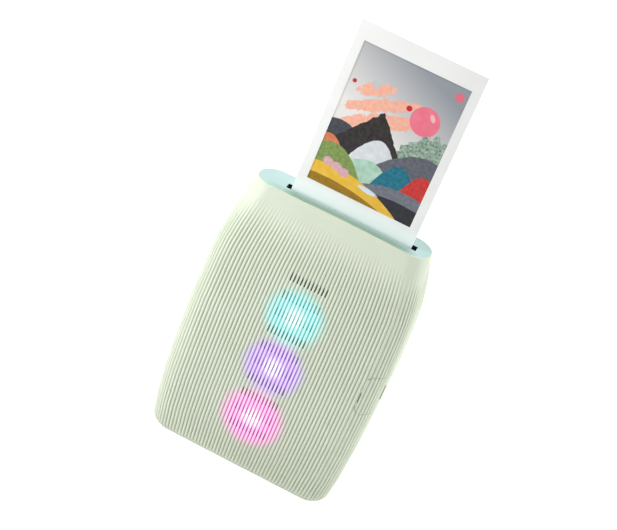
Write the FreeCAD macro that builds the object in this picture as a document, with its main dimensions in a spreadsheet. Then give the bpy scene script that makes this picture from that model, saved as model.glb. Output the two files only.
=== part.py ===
import FreeCAD
import Part
import Sketcher
import math
import os

# Compact photo printer: a ribbed, barrel-sided case that stands on its flat base and
# feeds an instant print out of a slot in its top. Millimetres, +Z up, +Y to the back.
# The origin is on the base, under the middle of the case.

Vector = FreeCAD.Vector

# Driving dimensions. A film place is given as (across, behind, above): across the film,
# behind its plane, and above the slot along the leaning film path.
SIZES = {
    # case
    "body_width": 90.0,
    "body_depth": 37.3,
    "rim_height": 124.3,
    "top_crown": 0.7,
    "corner_radius": 9.5,
    "rib_depth": 0.42,
    "shell_wall": 1.6,
    "floor_thickness": 2.0,
    "seam_gap": 0.25,
    "snap_reach": 3.5,
    "cut_overrun": 4.0,
    # fits
    "close_fit": 0.02,
    "running_fit": 0.05,
    "rest_gap": 0.1,
    "slide_gap": 0.3,
    # film path
    "film_across": 3.3,
    "film_behind": -2.1,
    "film_lean": 3.0,
    "sheet_width": 54.0,
    "sheet_length": 86.0,
    "sheet_thickness": 0.4,
    "sheet_out": 76.65,
    "picture_width": 46.0,
    "picture_length": 62.0,
    "picture_top_border": 7.5,
    "picture_layer": 0.1,
    # top plate and exit
    "plate_rim": 0.5,
    "plate_thickness": 1.6,
    "slot_width": 58.0,
    "slot_front": 1.2,
    "slot_back": 2.7,
    "clip_notch_place": 15.75,
    "clip_notch_width": 5.0,
    "clip_notch_depth": 0.5,
    "guide_width": 62.0,
    "guide_front": 4.2,
    "guide_back": 6.0,
    "guide_height": 2.1,
    "throat_width": 56.0,
    "throat_front": 0.95,
    "throat_back": 1.4,
    "felt_gap": 0.3,
    "felt_height": 1.7,
    # film pack
    "pack_width": 62.0,
    "pack_depth": 12.5,
    "pack_length": 90.5,
    "pack_top": 24.5,
    "pack_front": 1.2,
    "pack_wall": 1.2,
    "pack_front_wall": 0.8,
    "pack_window_width": 47.0,
    "pack_window_length": 63.0,
    "stack_depth": 5.0,
    "leaf_thickness": 0.3,
    # chassis
    "chassis_wall": 1.2,
    "chassis_gap": 0.4,
    "chassis_top": 23.0,
    "chassis_back": 10.5,
    "chassis_floor": 1.2,
    "lug_depth": 1.6,
    "lug_height": 5.2,
    "boss_radius": 2.3,
    "right_boss_across": 35.7,
    "left_boss_across": 39.3,
    "right_boss_low": 95.0,
    "right_boss_high": 37.0,
    "left_boss_low": 89.0,
    "left_boss_high": 32.0,
    "standoff_radius": 1.6,
    "standoff_height": 1.2,
    # main board and lights
    "board_thickness": 1.0,
    "board_width": 58.0,
    "board_top": 28.5,
    "board_bottom": 112.0,
    "board_hole_inset": 2.6,
    "baffle_width": 28.0,
    "baffle_top": 31.5,
    "baffle_bottom": 107.5,
    "baffle_depth": 2.2,
    "diffuser_thickness": 0.8,
    "light_high": 44.4,
    "light_middle": 69.9,
    "light_low": 97.5,
    "light_cup_radius": 8.4,
    "led_side": 3.5,
    "led_height": 0.9,
    "light_slot_width": 0.5,
    "light_strip_top": 27.2,
    "light_strip_bottom": 105.6,
    "light_row_pitch": 8.3,
    "light_row_gap": 4.8,
    # electronics on the main board
    "processor_side": 9.0,
    "processor_height": 1.1,
    "radio_width": 9.0,
    "radio_length": 13.0,
    "radio_height": 1.6,
    "coil_side": 4.2,
    "coil_height": 1.8,
    "memory_width": 6.0,
    "memory_length": 8.0,
    "chip_gap": 3.0,
    "connector_height": 1.5,
    "connector_depth": 3.4,
    "head_plug_width": 9.0,
    "side_plug_length": 7.0,
    "flex_thickness": 0.2,
    "flex_width": 8.0,
    "flex_step": 1.2,
    "lead_width": 5.0,
    # battery
    "battery_thickness": 9.8,
    "battery_width": 20.0,
    "battery_length": 46.0,
    "battery_top": 38.0,
    "battery_front": 3.0,
    "battery_corner": 1.6,
    "foam_thickness": 1.0,
    "foam_margin": 3.0,
    # power button on the right corner
    "button_left": 37.3,
    "button_back": -1.5,
    "button_low": 52.8,
    "button_high": 71.9,
    "button_corner": 3.0,
    "button_travel": 0.25,
    "button_flange": 0.9,
    "button_lip": 1.4,
    "stem_place": -5.9,
    "stem_width": 3.0,
    "stem_height": 4.0,
    "stem_reach": 1.5,
    "window_height": 7.4,
    "window_width": 2.4,
    "window_place": -10.0,
    "window_rise": 0.6,
    "switch_width": 6.0,
    "switch_height": 6.0,
    "switch_depth": 1.6,
    "plunger_radius": 1.5,
    "plunger_height": 0.5,
    "side_board_width": 12.0,
    "side_board_length": 27.0,
    "side_board_spacer": 1.3,
    "button_spring_width": 3.0,
    # charging port on the left side
    "port_height": 9.0,
    "port_width": 3.2,
    "port_length": 7.3,
    "port_wall": 0.3,
    "port_corner": 1.5,
    "port_tongue": 0.7,
    "port_tongue_width": 6.7,
    "port_place": 23.0,
    "port_behind": -5.0,
    "port_set_back": 0.9,
    "port_board_gap": 0.8,
    "port_board_width": 10.5,
    "port_board_height": 20.0,
    # roller unit
    "nip_depth": 8.6,
    "roller_radius": 2.5,
    "roller_gap": 0.35,
    "roller_half": 27.5,
    "shaft_radius": 1.0,
    "frame_inside": 28.6,
    "frame_thickness": 1.2,
    "frame_foot": 2.8,
    "frame_foot_width": 5.0,
    "frame_foot_place": 5.0,
    "frame_tip_front": 4.8,
    "frame_tip_back": 7.0,
    "frame_high_front": 6.4,
    "frame_high_step": 8.5,
    "frame_low_front": 7.6,
    "frame_low_step": 14.0,
    "frame_high_back": 12.2,
    "frame_back_step": 11.0,
    "frame_low_back": 13.4,
    "bush_radius": 1.8,
    "bush_flange_radius": 2.3,
    "bush_flange": 0.5,
    "roller_spring_length": 7.0,
    "roller_spring_thickness": 0.3,
    # gear train
    "tooth_module": 0.38,
    "roller_teeth": 15,
    "pinion_teeth": 10,
    "first_teeth": 26,
    "second_teeth": 24,
    "gear_width": 1.8,
    "gear_gap": 0.4,
    "axle_radius": 0.75,
    "hub_radius": 1.1,
    "cover_thickness": 1.0,
    "post_radius": 1.1,
    "front_post_behind": -3.4,
    "front_post_above": 14.6,
    "rear_post_behind": 11.6,
    "rear_post_above": 21.9,
    "motor_radius": 4.3,
    "motor_length": 20.0,
    "motor_collar_radius": 1.5,
    "motor_behind": 9.3,
    "motor_above": 17.6,
    "motor_shaft_radius": 0.5,
    # exposure head
    "head_depth": 6.0,
    "head_height": 5.0,
    "head_top": 16.5,
    "head_front_gap": 1.2,
    "lens_height": 1.4,
    "lens_stand_off": 0.55,
    # film claw
    "claw_thickness": 0.6,
    "claw_width": 1.8,
    "claw_length": 15.0,
    "claw_bottom": 113.5,
    "claw_travel": 6.0,
    "claw_hook": 1.0,
    "claw_hook_half": 0.3,
    # film door
    "door_half_width": 32.2,
    "door_top": 103.0,
    "door_corner": 4.0,
    "hinge_behind": 14.9,
    "hinge_height": 7.0,
    "hinge_lip": 0.6,
    "hinge_radius": 1.7,
    "hinge_pin_radius": 0.8,
    "hinge_place": 22.0,
    "hinge_boss_half": 2.0,
    "hinge_ear": 4.0,
    "hinge_relief": 2.25,
    "panel_half_width": 29.5,
    "panel_low": 12.0,
    "panel_high": 99.5,
    "panel_front": 9.8,
    "panel_wall": 1.2,
    "seal_width": 1.6,
    "seal_thickness": 0.6,
    "pad_width": 12.0,
    "pad_length": 24.0,
    "pad_thickness": 1.4,
    "pad_place": 15.0,
    "pad_middle": 63.2,
    "pad_stand_off": 0.5,
    "spring_half_length": 18.0,
    "latch_width": 12.0,
    "latch_height": 5.0,
    "latch_place": 89.8,
    "latch_travel": 2.5,
    "latch_plate_width": 17.0,
    "latch_plate_front": 11.4,
    "latch_plate_thickness": 1.0,
    "latch_tongue_width": 8.0,
    "latch_tongue_top": 101.6,
    "latch_proud": 0.9,
    # fasteners
    "screw_radius": 0.7,
    "screw_head_radius": 1.4,
    "screw_head_height": 0.8,
    "screw_socket_radius": 0.5,
    "screw_socket_depth": 0.5,
    "screw_length": 5.0,
    "small_screw_length": 2.2,
}

# Ribs: how many lie on the flat front, round each corner and on each side.
FRONT_RIBS = 44
CORNER_RIBS = 9
SIDE_RIBS = 12

# Case sections from the base up: shares of the rim height, of half the width, of half the
# depth, of the corner radius and of the rib depth.
SECTION_SHARES = [
    (0.0, 0.892, 0.81, 0.85, 0.0),
    (0.008, 0.919, 0.85, 0.885, 0.5),
    (0.02, 0.937, 0.872, 0.907, 0.85),
    (0.048, 0.947, 0.888, 0.925, 1.0),
    (0.112, 0.969, 0.93, 0.947, 1.0),
    (0.24, 0.991, 0.982, 0.979, 1.0),
    (0.4, 1.0, 1.0, 1.0, 1.0),
    (0.56, 1.0, 0.997, 1.0, 1.0),
    (0.72, 0.985, 0.925, 0.985, 1.0),
    (0.78, 0.974, 0.868, 0.968, 1.0),
    (0.835, 0.952, 0.776, 0.947, 0.95),
    (0.87, 0.936, 0.712, 0.937, 0.8),
    (0.9, 0.92, 0.655, 0.926, 0.55),
    (0.93, 0.903, 0.602, 0.916, 0.28),
    (0.957, 0.888, 0.556, 0.905, 0.06),
    (0.985, 0.869, 0.488, 0.885, 0.0),
    (1.0, 0.862, 0.461, 0.863, 0.0),
]
# The rib's bow: how far a ridge's control point stands past the chord's middle.
RIDGE_SHARE = 2.0
# Tooth thickness at the pitch line as a share of the pitch, and its slope.
TOOTH_SHARE = 0.31
TIP_SHARE = 0.78
ROOT_SHARE = 1.2
FLANK_DEGREES = 24.0
# How wide a hinge's web is beside its barrel.
WEB_SHARE = 0.75
# Heights of the rear shell's clip tongues, as shares of the rim height.
CLIP_SHARES = (0.37, 0.75)
# Slots over the lamps: how many columns lie on each side of the middle one.
LIGHT_COLUMNS = 5
FULL_TURN = 360.0
HALF_TURN = 180.0
# How far from 1 the cosine of two like directions may be.
TINY = 1e-6


class Size:
    """A number that also knows the spreadsheet formula that gives it."""

    def __init__(self, number, formula):
        self.number = number
        self.formula = formula

    def __float__(self):
        return float(self.number)

    def __add__(self, other):
        other = sized(other)
        return Size(self.number + other.number, "(%s + %s)" % (self.formula, other.formula))

    def __sub__(self, other):
        other = sized(other)
        return Size(self.number - other.number, "(%s - %s)" % (self.formula, other.formula))

    def __mul__(self, other):
        other = sized(other)
        return Size(self.number * other.number, "(%s * %s)" % (self.formula, other.formula))

    def __truediv__(self, other):
        other = sized(other)
        return Size(self.number / other.number, "(%s / %s)" % (self.formula, other.formula))

    def __neg__(self):
        return Size(-self.number, "(0 - %s)" % self.formula)

    def __radd__(self, other):
        return sized(other) + self

    def __rsub__(self, other):
        return sized(other) - self

    def __rmul__(self, other):
        return sized(other) * self


def sized(value):
    """Give a plain number the same form as a named size."""
    if isinstance(value, Size):
        return value
    return Size(float(value), repr(float(value)))


class SizeSheet:
    """The spreadsheet of driving dimensions, read by name."""

    def __init__(self, document, table):
        self.table = table
        self.sheet = document.addObject("Spreadsheet::Sheet", "Sizes")
        self.rows = 0
        for name, number in table.items():
            self.write(name, str(number))
        document.recompute()

    def write(self, name, content):
        self.rows += 1
        self.sheet.set("A%d" % self.rows, name)
        self.sheet.set("B%d" % self.rows, content)
        self.sheet.setAlias("B%d" % self.rows, name)

    def keep(self, name, value):
        """Write a worked-out size into the sheet and give it back under its name."""
        self.write(name, "=" + value.formula.replace("Sizes.", ""))
        return Size(value.number, "Sizes." + name)

    def __getattr__(self, name):
        return Size(float(self.sheet.get(name)), "Sizes." + name)


doc = FreeCAD.newDocument("photo_printer")
s = SizeSheet(doc, SIZES)
nodes = []
ZERO = sized(0)


def sine(degrees):
    return Size(math.sin(math.radians(float(degrees))), "sin(%s)" % degrees.formula)


def cosine(degrees):
    return Size(math.cos(math.radians(float(degrees))), "cos(%s)" % degrees.formula)


def bind(thing, path, value):
    """Tie one property to its formula in the spreadsheet."""
    thing.setExpression(path, sized(value).formula)


def seat(thing, point, turn=ZERO):
    """Put a sub-part at a point of the case, turned about the X axis."""
    turn = sized(turn)
    x_axis = Vector(1, 0, 0)
    place = Vector(*[float(value) for value in point])
    thing.Placement = FreeCAD.Placement(place, FreeCAD.Rotation(x_axis, float(turn)))
    for path, value in zip(("x", "y", "z"), point):
        bind(thing, "Placement.Base." + path, value)
    if turn.number:
        bind(thing, "Placement.Rotation.Angle", turn)


def film_point(across, behind, above):
    """A place given along the leaning film, in the case's own directions."""
    across, behind, above = sized(across), sized(behind), sized(above)
    lean_sine = sine(s.film_lean)
    lean_cosine = cosine(s.film_lean)
    return (
        s.film_across + across,
        s.film_behind + behind * lean_cosine + above * lean_sine,
        slot_height - behind * lean_sine + above * lean_cosine,
    )


def on_film(thing):
    """Lay a sub-part that was drawn in film places along the leaning film."""
    seat(thing, film_point(ZERO, ZERO, ZERO), -s.film_lean)
    return thing


def node(thing, label):
    """Give a finished sub-part its name and keep it for the export."""
    thing.Label = label
    nodes.append(thing)
    return thing


# Part primitives

def box(name, low, high):
    """A block between two corners."""
    block = doc.addObject("Part::Box", name)
    low = [sized(value) for value in low]
    high = [sized(value) for value in high]
    for path, first, last in zip(("Length", "Width", "Height"), low, high):
        bind(block, path, last - first)
    seat(block, low)
    return block


def rod(name, start, radius, length, along):
    """A cylinder from a point, along one of the three directions."""
    cylinder = doc.addObject("Part::Cylinder", name)
    bind(cylinder, "Radius", radius)
    bind(cylinder, "Height", length)
    turns = {
        "x": FreeCAD.Rotation(Vector(0, 1, 0), 90),
        "y": FreeCAD.Rotation(Vector(1, 0, 0), -90),
        "z": FreeCAD.Rotation(),
    }
    cylinder.Placement = FreeCAD.Placement(Vector(), turns[along])
    for path, value in zip(("x", "y", "z"), start):
        bind(cylinder, "Placement.Base." + path, value)
    return cylinder


def joined(name, pieces):
    fused = doc.addObject("Part::MultiFuse", name)
    fused.Shapes = pieces
    return fused


def less(name, base, tools):
    """A solid with one or more pieces taken away."""
    cut = doc.addObject("Part::Cut", name)
    cut.Base = base
    cut.Tool = tools[0] if len(tools) == 1 else joined(name + "_tools", tools)
    return cut


def group(name, pieces):
    """Several separate solids of one kind."""
    compound = doc.addObject("Part::Compound", name)
    compound.Links = pieces
    return compound


def rounded(name, base, radius, direction):
    """Round the straight edges of a block that run along one direction."""
    doc.recompute()
    fillet = doc.addObject("Part::Fillet", name)
    fillet.Base = base
    size = float(radius)
    edges = []
    for index, edge in enumerate(base.Shape.Edges, 1):
        run = edge.Vertexes[-1].Point - edge.Vertexes[0].Point
        if run.Length > 0 and abs(run.normalize() * direction) > 1 - TINY:
            edges.append((index, size, size))
    fillet.Edges = edges
    return fillet


# PartDesign bodies

def new_body(name):
    return doc.addObject("PartDesign::Body", name)


def origin_piece(body, role):
    return [piece for piece in body.Origin.OriginFeatures if piece.Role == role][0]


def new_sketch(body, name, plane, offset=ZERO):
    """A sketch on one of the body's own planes, moved along its normal."""
    sketch = body.newObject("Sketcher::SketchObject", name)
    sketch.AttachmentSupport = [(origin_piece(body, plane), "")]
    sketch.MapMode = "FlatFace"
    if sized(offset).number:
        bind(sketch, "AttachmentOffset.Base.z", offset)
    return sketch


def constrain(sketch, kind, index, corner, value):
    """One measured distance from the sketch's origin, tied to its formula."""
    value = sized(value)
    rule = sketch.addConstraint(Sketcher.Constraint(kind, -1, 1, index, corner, float(value)))
    bind(sketch, "Constraints[%d]" % rule, value)


def outline(sketch, points):
    """A closed outline of straight lines through sized points."""
    first = sketch.GeometryCount
    count = len(points)
    flat = [Vector(float(sized(a)), float(sized(b)), 0) for a, b in points]
    lines = [Part.LineSegment(flat[i], flat[(i + 1) % count]) for i in range(count)]
    sketch.addGeometry(lines, False)
    for i in range(count):
        following = first + (i + 1) % count
        sketch.addConstraint(Sketcher.Constraint("Coincident", first + i, 2, following, 1))
    for i, (a, b) in enumerate(points):
        constrain(sketch, "DistanceX", first + i, 1, a)
        constrain(sketch, "DistanceY", first + i, 1, b)


def rectangle(sketch, left, low, right, high):
    outline(sketch, [(left, low), (right, low), (right, high), (left, high)])


def circle(sketch, across, up, radius):
    """A circle at a sized place."""
    index = sketch.GeometryCount
    centre = Vector(float(sized(across)), float(sized(up)), 0)
    sketch.addGeometry(Part.Circle(centre, Vector(0, 0, 1), float(sized(radius))), False)
    rule = sketch.addConstraint(Sketcher.Constraint("Radius", index, float(sized(radius))))
    bind(sketch, "Constraints[%d]" % rule, radius)
    constrain(sketch, "DistanceX", index, 3, across)
    constrain(sketch, "DistanceY", index, 3, up)


def pad(body, name, sketch, length, reverse=False):
    feature = body.newObject("PartDesign::Pad", name)
    feature.Profile = sketch
    bind(feature, "Length", length)
    feature.Reversed = reverse
    return feature


def pocket(body, name, sketch, length, reverse=False):
    feature = body.newObject("PartDesign::Pocket", name)
    feature.Profile = sketch
    bind(feature, "Length", length)
    feature.Reversed = reverse
    return feature


def revolve(body, name, sketch, axis):
    feature = body.newObject("PartDesign::Revolution", name)
    feature.Profile = sketch
    feature.ReferenceAxis = (sketch, [axis])
    feature.Angle = FULL_TURN
    return feature


def slab(name, plane, points, offset, thickness, reverse=False):
    """A body that is one outline pushed out to a thickness."""
    body = new_body(name)
    sketch = new_sketch(body, name + "_outline", plane, offset)
    outline(sketch, points)
    pad(body, name + "_pad", sketch, thickness, reverse)
    return body


# Places that several sub-parts share

slot_height = s.rim_height + s.top_crown
sheet_half = s.sheet_thickness / 2
pack_half = s.pack_width / 2
pack_low = -(s.pack_top + s.pack_length)
pack_back = s.pack_depth - s.pack_front
well_half = pack_half + s.chassis_gap
chassis_half = well_half + s.chassis_wall
chassis_front = s.pack_front + s.rest_gap + s.slide_gap
chassis_face = chassis_front + s.chassis_wall
chassis_low = pack_low - s.chassis_gap - s.chassis_floor
board_back = chassis_face + s.standoff_height
board_face = board_back + s.board_thickness
board_half = s.board_width / 2
light_across = -s.film_across
baffle_face = board_face + s.baffle_depth
light_heights = (s.light_high, s.light_middle, s.light_low)
boss_places = (
    (s.right_boss_across, -s.right_boss_low, 1),
    (s.right_boss_across, -s.right_boss_high, 1),
    (-s.left_boss_across, -s.left_boss_low, -1),
    (-s.left_boss_across, -s.left_boss_high, -1),
)
roller_behind = s.roller_radius + s.roller_gap
frame_outside = s.frame_inside + s.frame_thickness
guide_low = -(s.guide_height + s.plate_thickness + s.top_crown + s.rest_gap * 3)
way_low = -(s.claw_bottom + s.slide_gap)
way_high = way_low + s.claw_hook + s.claw_travel + 2 * s.slide_gap
first_layer = -(frame_outside + s.gear_gap / 2)
layer_step = s.gear_width + s.gear_gap
second_layer = first_layer - layer_step
third_layer = second_layer - layer_step
cover_face = third_layer - s.gear_width - s.gear_gap
side_board_back = chassis_half + s.side_board_spacer
side_board_face = side_board_back + s.board_thickness
half_depth = s.body_depth / 2
half_width = s.body_width / 2


# The case, whose outside follows one table of sections

def number(value):
    return float(sized(value))


def section(height):
    """Half width, half depth, corner radius and rib depth of the case at a height."""
    share = height / number(s.rim_height)
    rows = SECTION_SHARES
    upper = 1
    while upper < len(rows) - 1 and rows[upper][0] < share:
        upper += 1
    low, high = rows[upper - 1], rows[upper]
    part = min(1.0, (share - low[0]) / (high[0] - low[0]))
    shares = [a + (b - a) * part for a, b in zip(low[1:], high[1:])]
    full = (half_width, half_depth, s.corner_radius, s.rib_depth)
    return [number(size) * share for size, share in zip(full, shares)]


def rib_places(half_x, half_y, radius):
    """Grooves and ridges in turn round one section, each with its outward direction."""
    places = []

    def along(start, end, normal, ribs):
        for step in range(2 * ribs):
            places.append((start + (end - start) * (step / (2 * ribs)), normal))

    def around(centre, first_degrees, ribs):
        for step in range(2 * ribs):
            angle = math.radians(first_degrees + 90 * step / (2 * ribs))
            normal = Vector(math.cos(angle), math.sin(angle), 0)
            places.append((centre + normal * radius, normal))

    flat_x = half_x - radius
    flat_y = half_y - radius
    along(Vector(-flat_x, -half_y), Vector(flat_x, -half_y), Vector(0, -1, 0), FRONT_RIBS)
    around(Vector(flat_x, -flat_y), -90, CORNER_RIBS)
    along(Vector(half_x, -flat_y), Vector(half_x, flat_y), Vector(1, 0, 0), SIDE_RIBS)
    around(Vector(flat_x, flat_y), 0, CORNER_RIBS)
    along(Vector(flat_x, half_y), Vector(-flat_x, half_y), Vector(0, 1, 0), FRONT_RIBS)
    around(Vector(-flat_x, flat_y), 90, CORNER_RIBS)
    along(Vector(-half_x, flat_y), Vector(-half_x, -flat_y), Vector(-1, 0, 0), SIDE_RIBS)
    around(Vector(-flat_x, -flat_y), 180, CORNER_RIBS)
    return places


def ribbed_wire(height, sizes):
    """One section as a ring of small bows, a ridge between each two grooves."""
    half_x, half_y, radius, depth = sizes
    lift = Vector(0, 0, height)
    places = rib_places(half_x, half_y, radius)
    grooves = [point - normal * depth + lift for point, normal in places[0::2]]
    ridges = [point + lift for point, normal in places[1::2]]
    edges = []
    for i, ridge in enumerate(ridges):
        start = grooves[i]
        end = grooves[(i + 1) % len(grooves)]
        pull = ridge * RIDGE_SHARE - (start + end) * (RIDGE_SHARE - 1) / 2
        bow = Part.BezierCurve()
        bow.setPoles([start, pull, end])
        edges.append(bow.toShape())
    return Part.Wire(edges)


def plain_wire(height, sizes, inset):
    """One section as a rounded rectangle, drawn in from the outside by an inset."""
    half_x, half_y, radius = [size - inset for size in sizes[:3]]
    flat_x = half_x - radius
    flat_y = half_y - radius
    diagonal = radius * math.sqrt(1 / 2)
    arcs = []
    for x, y in ((1, -1), (1, 1), (-1, 1), (-1, -1)):
        corner = Vector(x * flat_x, y * flat_y, height)
        on_side = corner + Vector(x * radius, 0, 0)
        on_front = corner + Vector(0, y * radius, 0)
        middle = corner + Vector(x * diagonal, y * diagonal, 0)
        ends = [on_front, on_side] if x * y < 0 else [on_side, on_front]
        arcs.append((ends[0], middle, ends[1]))
    edges = []
    for i, (start, middle, end) in enumerate(arcs):
        following = arcs[(i + 1) % len(arcs)][0]
        edges.append(Part.Arc(start, middle, end).toShape())
        edges.append(Part.LineSegment(end, following).toShape())
    return Part.Wire(edges)


def section_heights(start):
    """The table's heights above a start, and one well above the rim."""
    heights = [share * number(s.rim_height) for share, *rest in SECTION_SHARES]
    heights = [start] + [height for height in heights if height > start + number(s.rest_gap)]
    return heights + [number(slot_height + s.cut_overrun)]


def ribbed_form():
    heights = section_heights(0.0)
    return Part.makeLoft([ribbed_wire(height, section(height)) for height in heights], True, True)


def plain_form(start, inset):
    heights = section_heights(number(start))
    inset = number(inset)
    return Part.makeLoft([plain_wire(height, section(height), inset) for height in heights], True, True)


def under_crown():
    """All that lies under the slightly crowned top."""
    half_rim = section(number(s.rim_height))[0]
    crown = number(s.top_crown)
    arc_radius = (half_rim ** 2 + crown ** 2) / (2 * crown)
    top = number(slot_height)
    reach = number(half_width + s.cut_overrun)
    side = number(half_depth + s.cut_overrun)
    edge_height = top - (arc_radius - math.sqrt(arc_radius ** 2 - reach ** 2))
    left = Vector(-reach, -side, edge_height)
    right = Vector(reach, -side, edge_height)
    drop = Vector(0, 0, edge_height + number(s.cut_overrun))
    arc = Part.Arc(left, Vector(0, -side, top), right).toShape()
    corners = [right, right - drop, left - drop, left]
    face = Part.Face(Part.Wire([arc] + Part.makePolygon(corners).Edges))
    return face.extrude(Vector(0, 2 * side, 0))


def block(low, high):
    """A plain block between two corners given as sizes."""
    low = Vector(*[number(value) for value in low])
    high = Vector(*[number(value) for value in high])
    run = high - low
    return Part.makeBox(run.x, run.y, run.z, low)


def soft_block(low, high, radius, direction, keep=None):
    """A block whose edges along one direction are rounded."""
    solid = block(low, high)
    edges = [e for e in solid.Edges if abs(e.tangentAt(e.FirstParameter) * direction) > 1 - TINY]
    if keep:
        edges = [edge for edge in edges if keep(edge.CenterOfMass)]
    return solid.makeFillet(number(radius), edges)


def pin(start, radius, length, direction):
    """A round pin as a bare shape."""
    start = Vector(*[number(value) for value in start])
    return Part.makeCylinder(number(radius), number(length), start, direction)


def film_shape(shape):
    """Lay a bare shape, drawn in film places, along the leaning film."""
    place = Vector(*[number(value) for value in film_point(ZERO, ZERO, ZERO)])
    lean = FreeCAD.Rotation(Vector(1, 0, 0), -number(s.film_lean))
    moved = shape.copy()
    moved.Placement = FreeCAD.Placement(place, lean).multiply(moved.Placement)
    return moved


def shaped(label, shape):
    """A sub-part whose shape follows the ribbed case."""
    feature = doc.addObject("Part::Feature", label)
    if len(shape.Solids) == 1:
        shape = shape.Solids[0]
    feature.Shape = shape
    return node(feature, label)


ALONG_X = Vector(1, 0, 0)
ALONG_Y = Vector(0, 1, 0)
ALONG_Z = Vector(0, 0, 1)
far = half_width + s.cut_overrun
BELOW = -s.cut_overrun
ABOVE = slot_height + s.cut_overrun


def plate_prism(gap):
    """The top plate's outline, from its underside up."""
    sizes = section(number(s.rim_height))
    inset = number(s.plate_rim) - number(gap)
    bottom = number(s.rim_height - s.plate_thickness)
    face = Part.Face(plain_wire(bottom, sizes, inset))
    return face.extrude(Vector(0, 0, number(s.plate_thickness + s.cut_overrun)))


def button_opening():
    left, back = s.button_left, s.button_back
    low, high = s.button_low, s.button_high
    return wrapped_block(left, back, low, high, s.button_corner)


def wrapped_block(left, back, low, high, radius):
    """A rounded panel's block that wraps round the right front corner of the case."""
    front_view = soft_block((left, -far, low), (far, ZERO, high), radius, ALONG_Y)
    inner_face = half_width / 2
    side_view = soft_block((inner_face, -far, low), (far, back, high), radius, ALONG_X)
    return front_view.common(side_view)


def button_block():
    """The part of the opening that the button itself fills."""
    gap = s.seam_gap
    left = s.button_left + s.button_travel + s.rest_gap
    return wrapped_block(left, s.button_back - gap, s.button_low + gap, s.button_high - gap,
                         s.button_corner - gap)


def door_block(gap):
    """The film door's outline, with the given gap all round but below."""
    half = s.door_half_width + gap
    left = s.film_across - half
    right = s.film_across + half
    low = s.hinge_height - s.hinge_lip
    middle = number(slot_height) / 2
    return soft_block((left, s.hinge_pin_radius, low), (right, far, s.door_top + gap), s.door_corner,
                      ALONG_Y, keep=lambda point: point.z > middle)


def light_slots():
    """Short slots in the grooves, in level rows down a plain strip over the lamps."""
    top = number(slot_height - s.light_strip_top)
    bottom = number(slot_height - s.light_strip_bottom)
    pitch = number(s.light_row_pitch)
    length = pitch - number(s.light_row_gap)
    half = number(s.light_slot_width) / 2
    slots = []
    high_end = top
    while high_end - length > bottom:
        low_end = high_end - length
        sizes = section((low_end + high_end) / 2)
        groove_pitch = 2 * (sizes[0] - sizes[2]) / FRONT_RIBS
        for groove in range(-LIGHT_COLUMNS, LIGHT_COLUMNS + 1):
            across = groove * groove_pitch
            slots.append(block((across - half, -far, low_end),
                               (across + half, -(half_depth - s.shell_wall * 4), high_end)))
        high_end -= pitch
    return slots


def port_hole():
    half_tall = s.port_height / 2 + s.slide_gap
    half_wide = s.port_width / 2 + s.slide_gap
    low = (-far, s.port_behind - half_wide, s.port_place - half_tall)
    high = (-half_width / 2, s.port_behind + half_wide, s.port_place + half_tall)
    return soft_block(low, high, s.port_corner, ALONG_X)


def chassis_bosses():
    """Front shell bosses that the chassis lugs are screwed to, and the port board's two."""
    bosses = []
    for across, above, side in boss_places:
        face = -(s.pack_front + s.chassis_gap)
        start = (across, face, above)
        bosses.append(film_shape(pin(start, s.boss_radius, half_depth, -ALONG_Y)))
    for x, z in port_screws():
        start = (x, port_board_front, z)
        bosses.append(pin(start, s.standoff_radius, half_depth, -ALONG_Y))
    return bosses


def boss_bores():
    bores = []
    bore = s.screw_radius + s.close_fit
    for across, above, side in boss_places:
        face = -(s.pack_front + s.chassis_gap)
        bores.append(film_shape(pin((across, face, above), bore, s.screw_length, -ALONG_Y)))
    for x, z in port_screws():
        bores.append(pin((x, port_board_front, z), bore, s.screw_length, -ALONG_Y))
    return bores


port_board_front = s.port_behind + s.port_width / 2
port_mouth = -(half_width - s.shell_wall) - s.port_set_back / 2
port_board_left = port_mouth + s.shell_wall + s.port_board_gap


def port_screws():
    across = port_board_left + s.port_board_width - s.standoff_radius
    reach = s.port_board_height / 2 - s.standoff_radius
    return ((across, s.port_place - reach), (across, s.port_place + reach))


def snap_tongues():
    """Tongues of the rear shell that clip inside the front shell's sides."""
    tongues = []
    thickness = number(s.chassis_wall)
    inside = number(s.shell_wall + s.rest_gap)
    half_tall = number(s.boss_radius)
    reach = number(s.snap_reach)
    gap = number(s.rest_gap)
    for share in CLIP_SHARES:
        z = share * number(s.rim_height)
        outer = min(section(z - half_tall)[0], section(z + half_tall)[0]) - inside
        for side in (-1, 1):
            left, right = sorted((side * (outer - thickness), side * outer))
            corner = Vector(left, -reach, z - half_tall)
            tongues.append(Part.makeBox(thickness, 2 * reach, 2 * half_tall, corner))
            width = thickness + inside / 2
            left, right = sorted((side * (outer - thickness), side * (outer - thickness + width)))
            corner = Vector(left, gap, z - half_tall)
            tongues.append(Part.makeBox(width, reach - gap, 2 * half_tall, corner))
    return tongues


def hinge_spans(half, start=ZERO):
    """Left and right ends of a hinge feature at each of the two hinges."""
    spans = []
    for side in (-1, 1):
        middle = s.film_across + side * s.hinge_place
        if number(start):
            spans.append((middle - half, middle - start))
            spans.append((middle + start, middle + half))
        else:
            spans.append((middle - half, middle + half))
    return spans


ear_start = s.hinge_boss_half + s.slide_gap
ear_end = ear_start + s.hinge_ear


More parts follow.
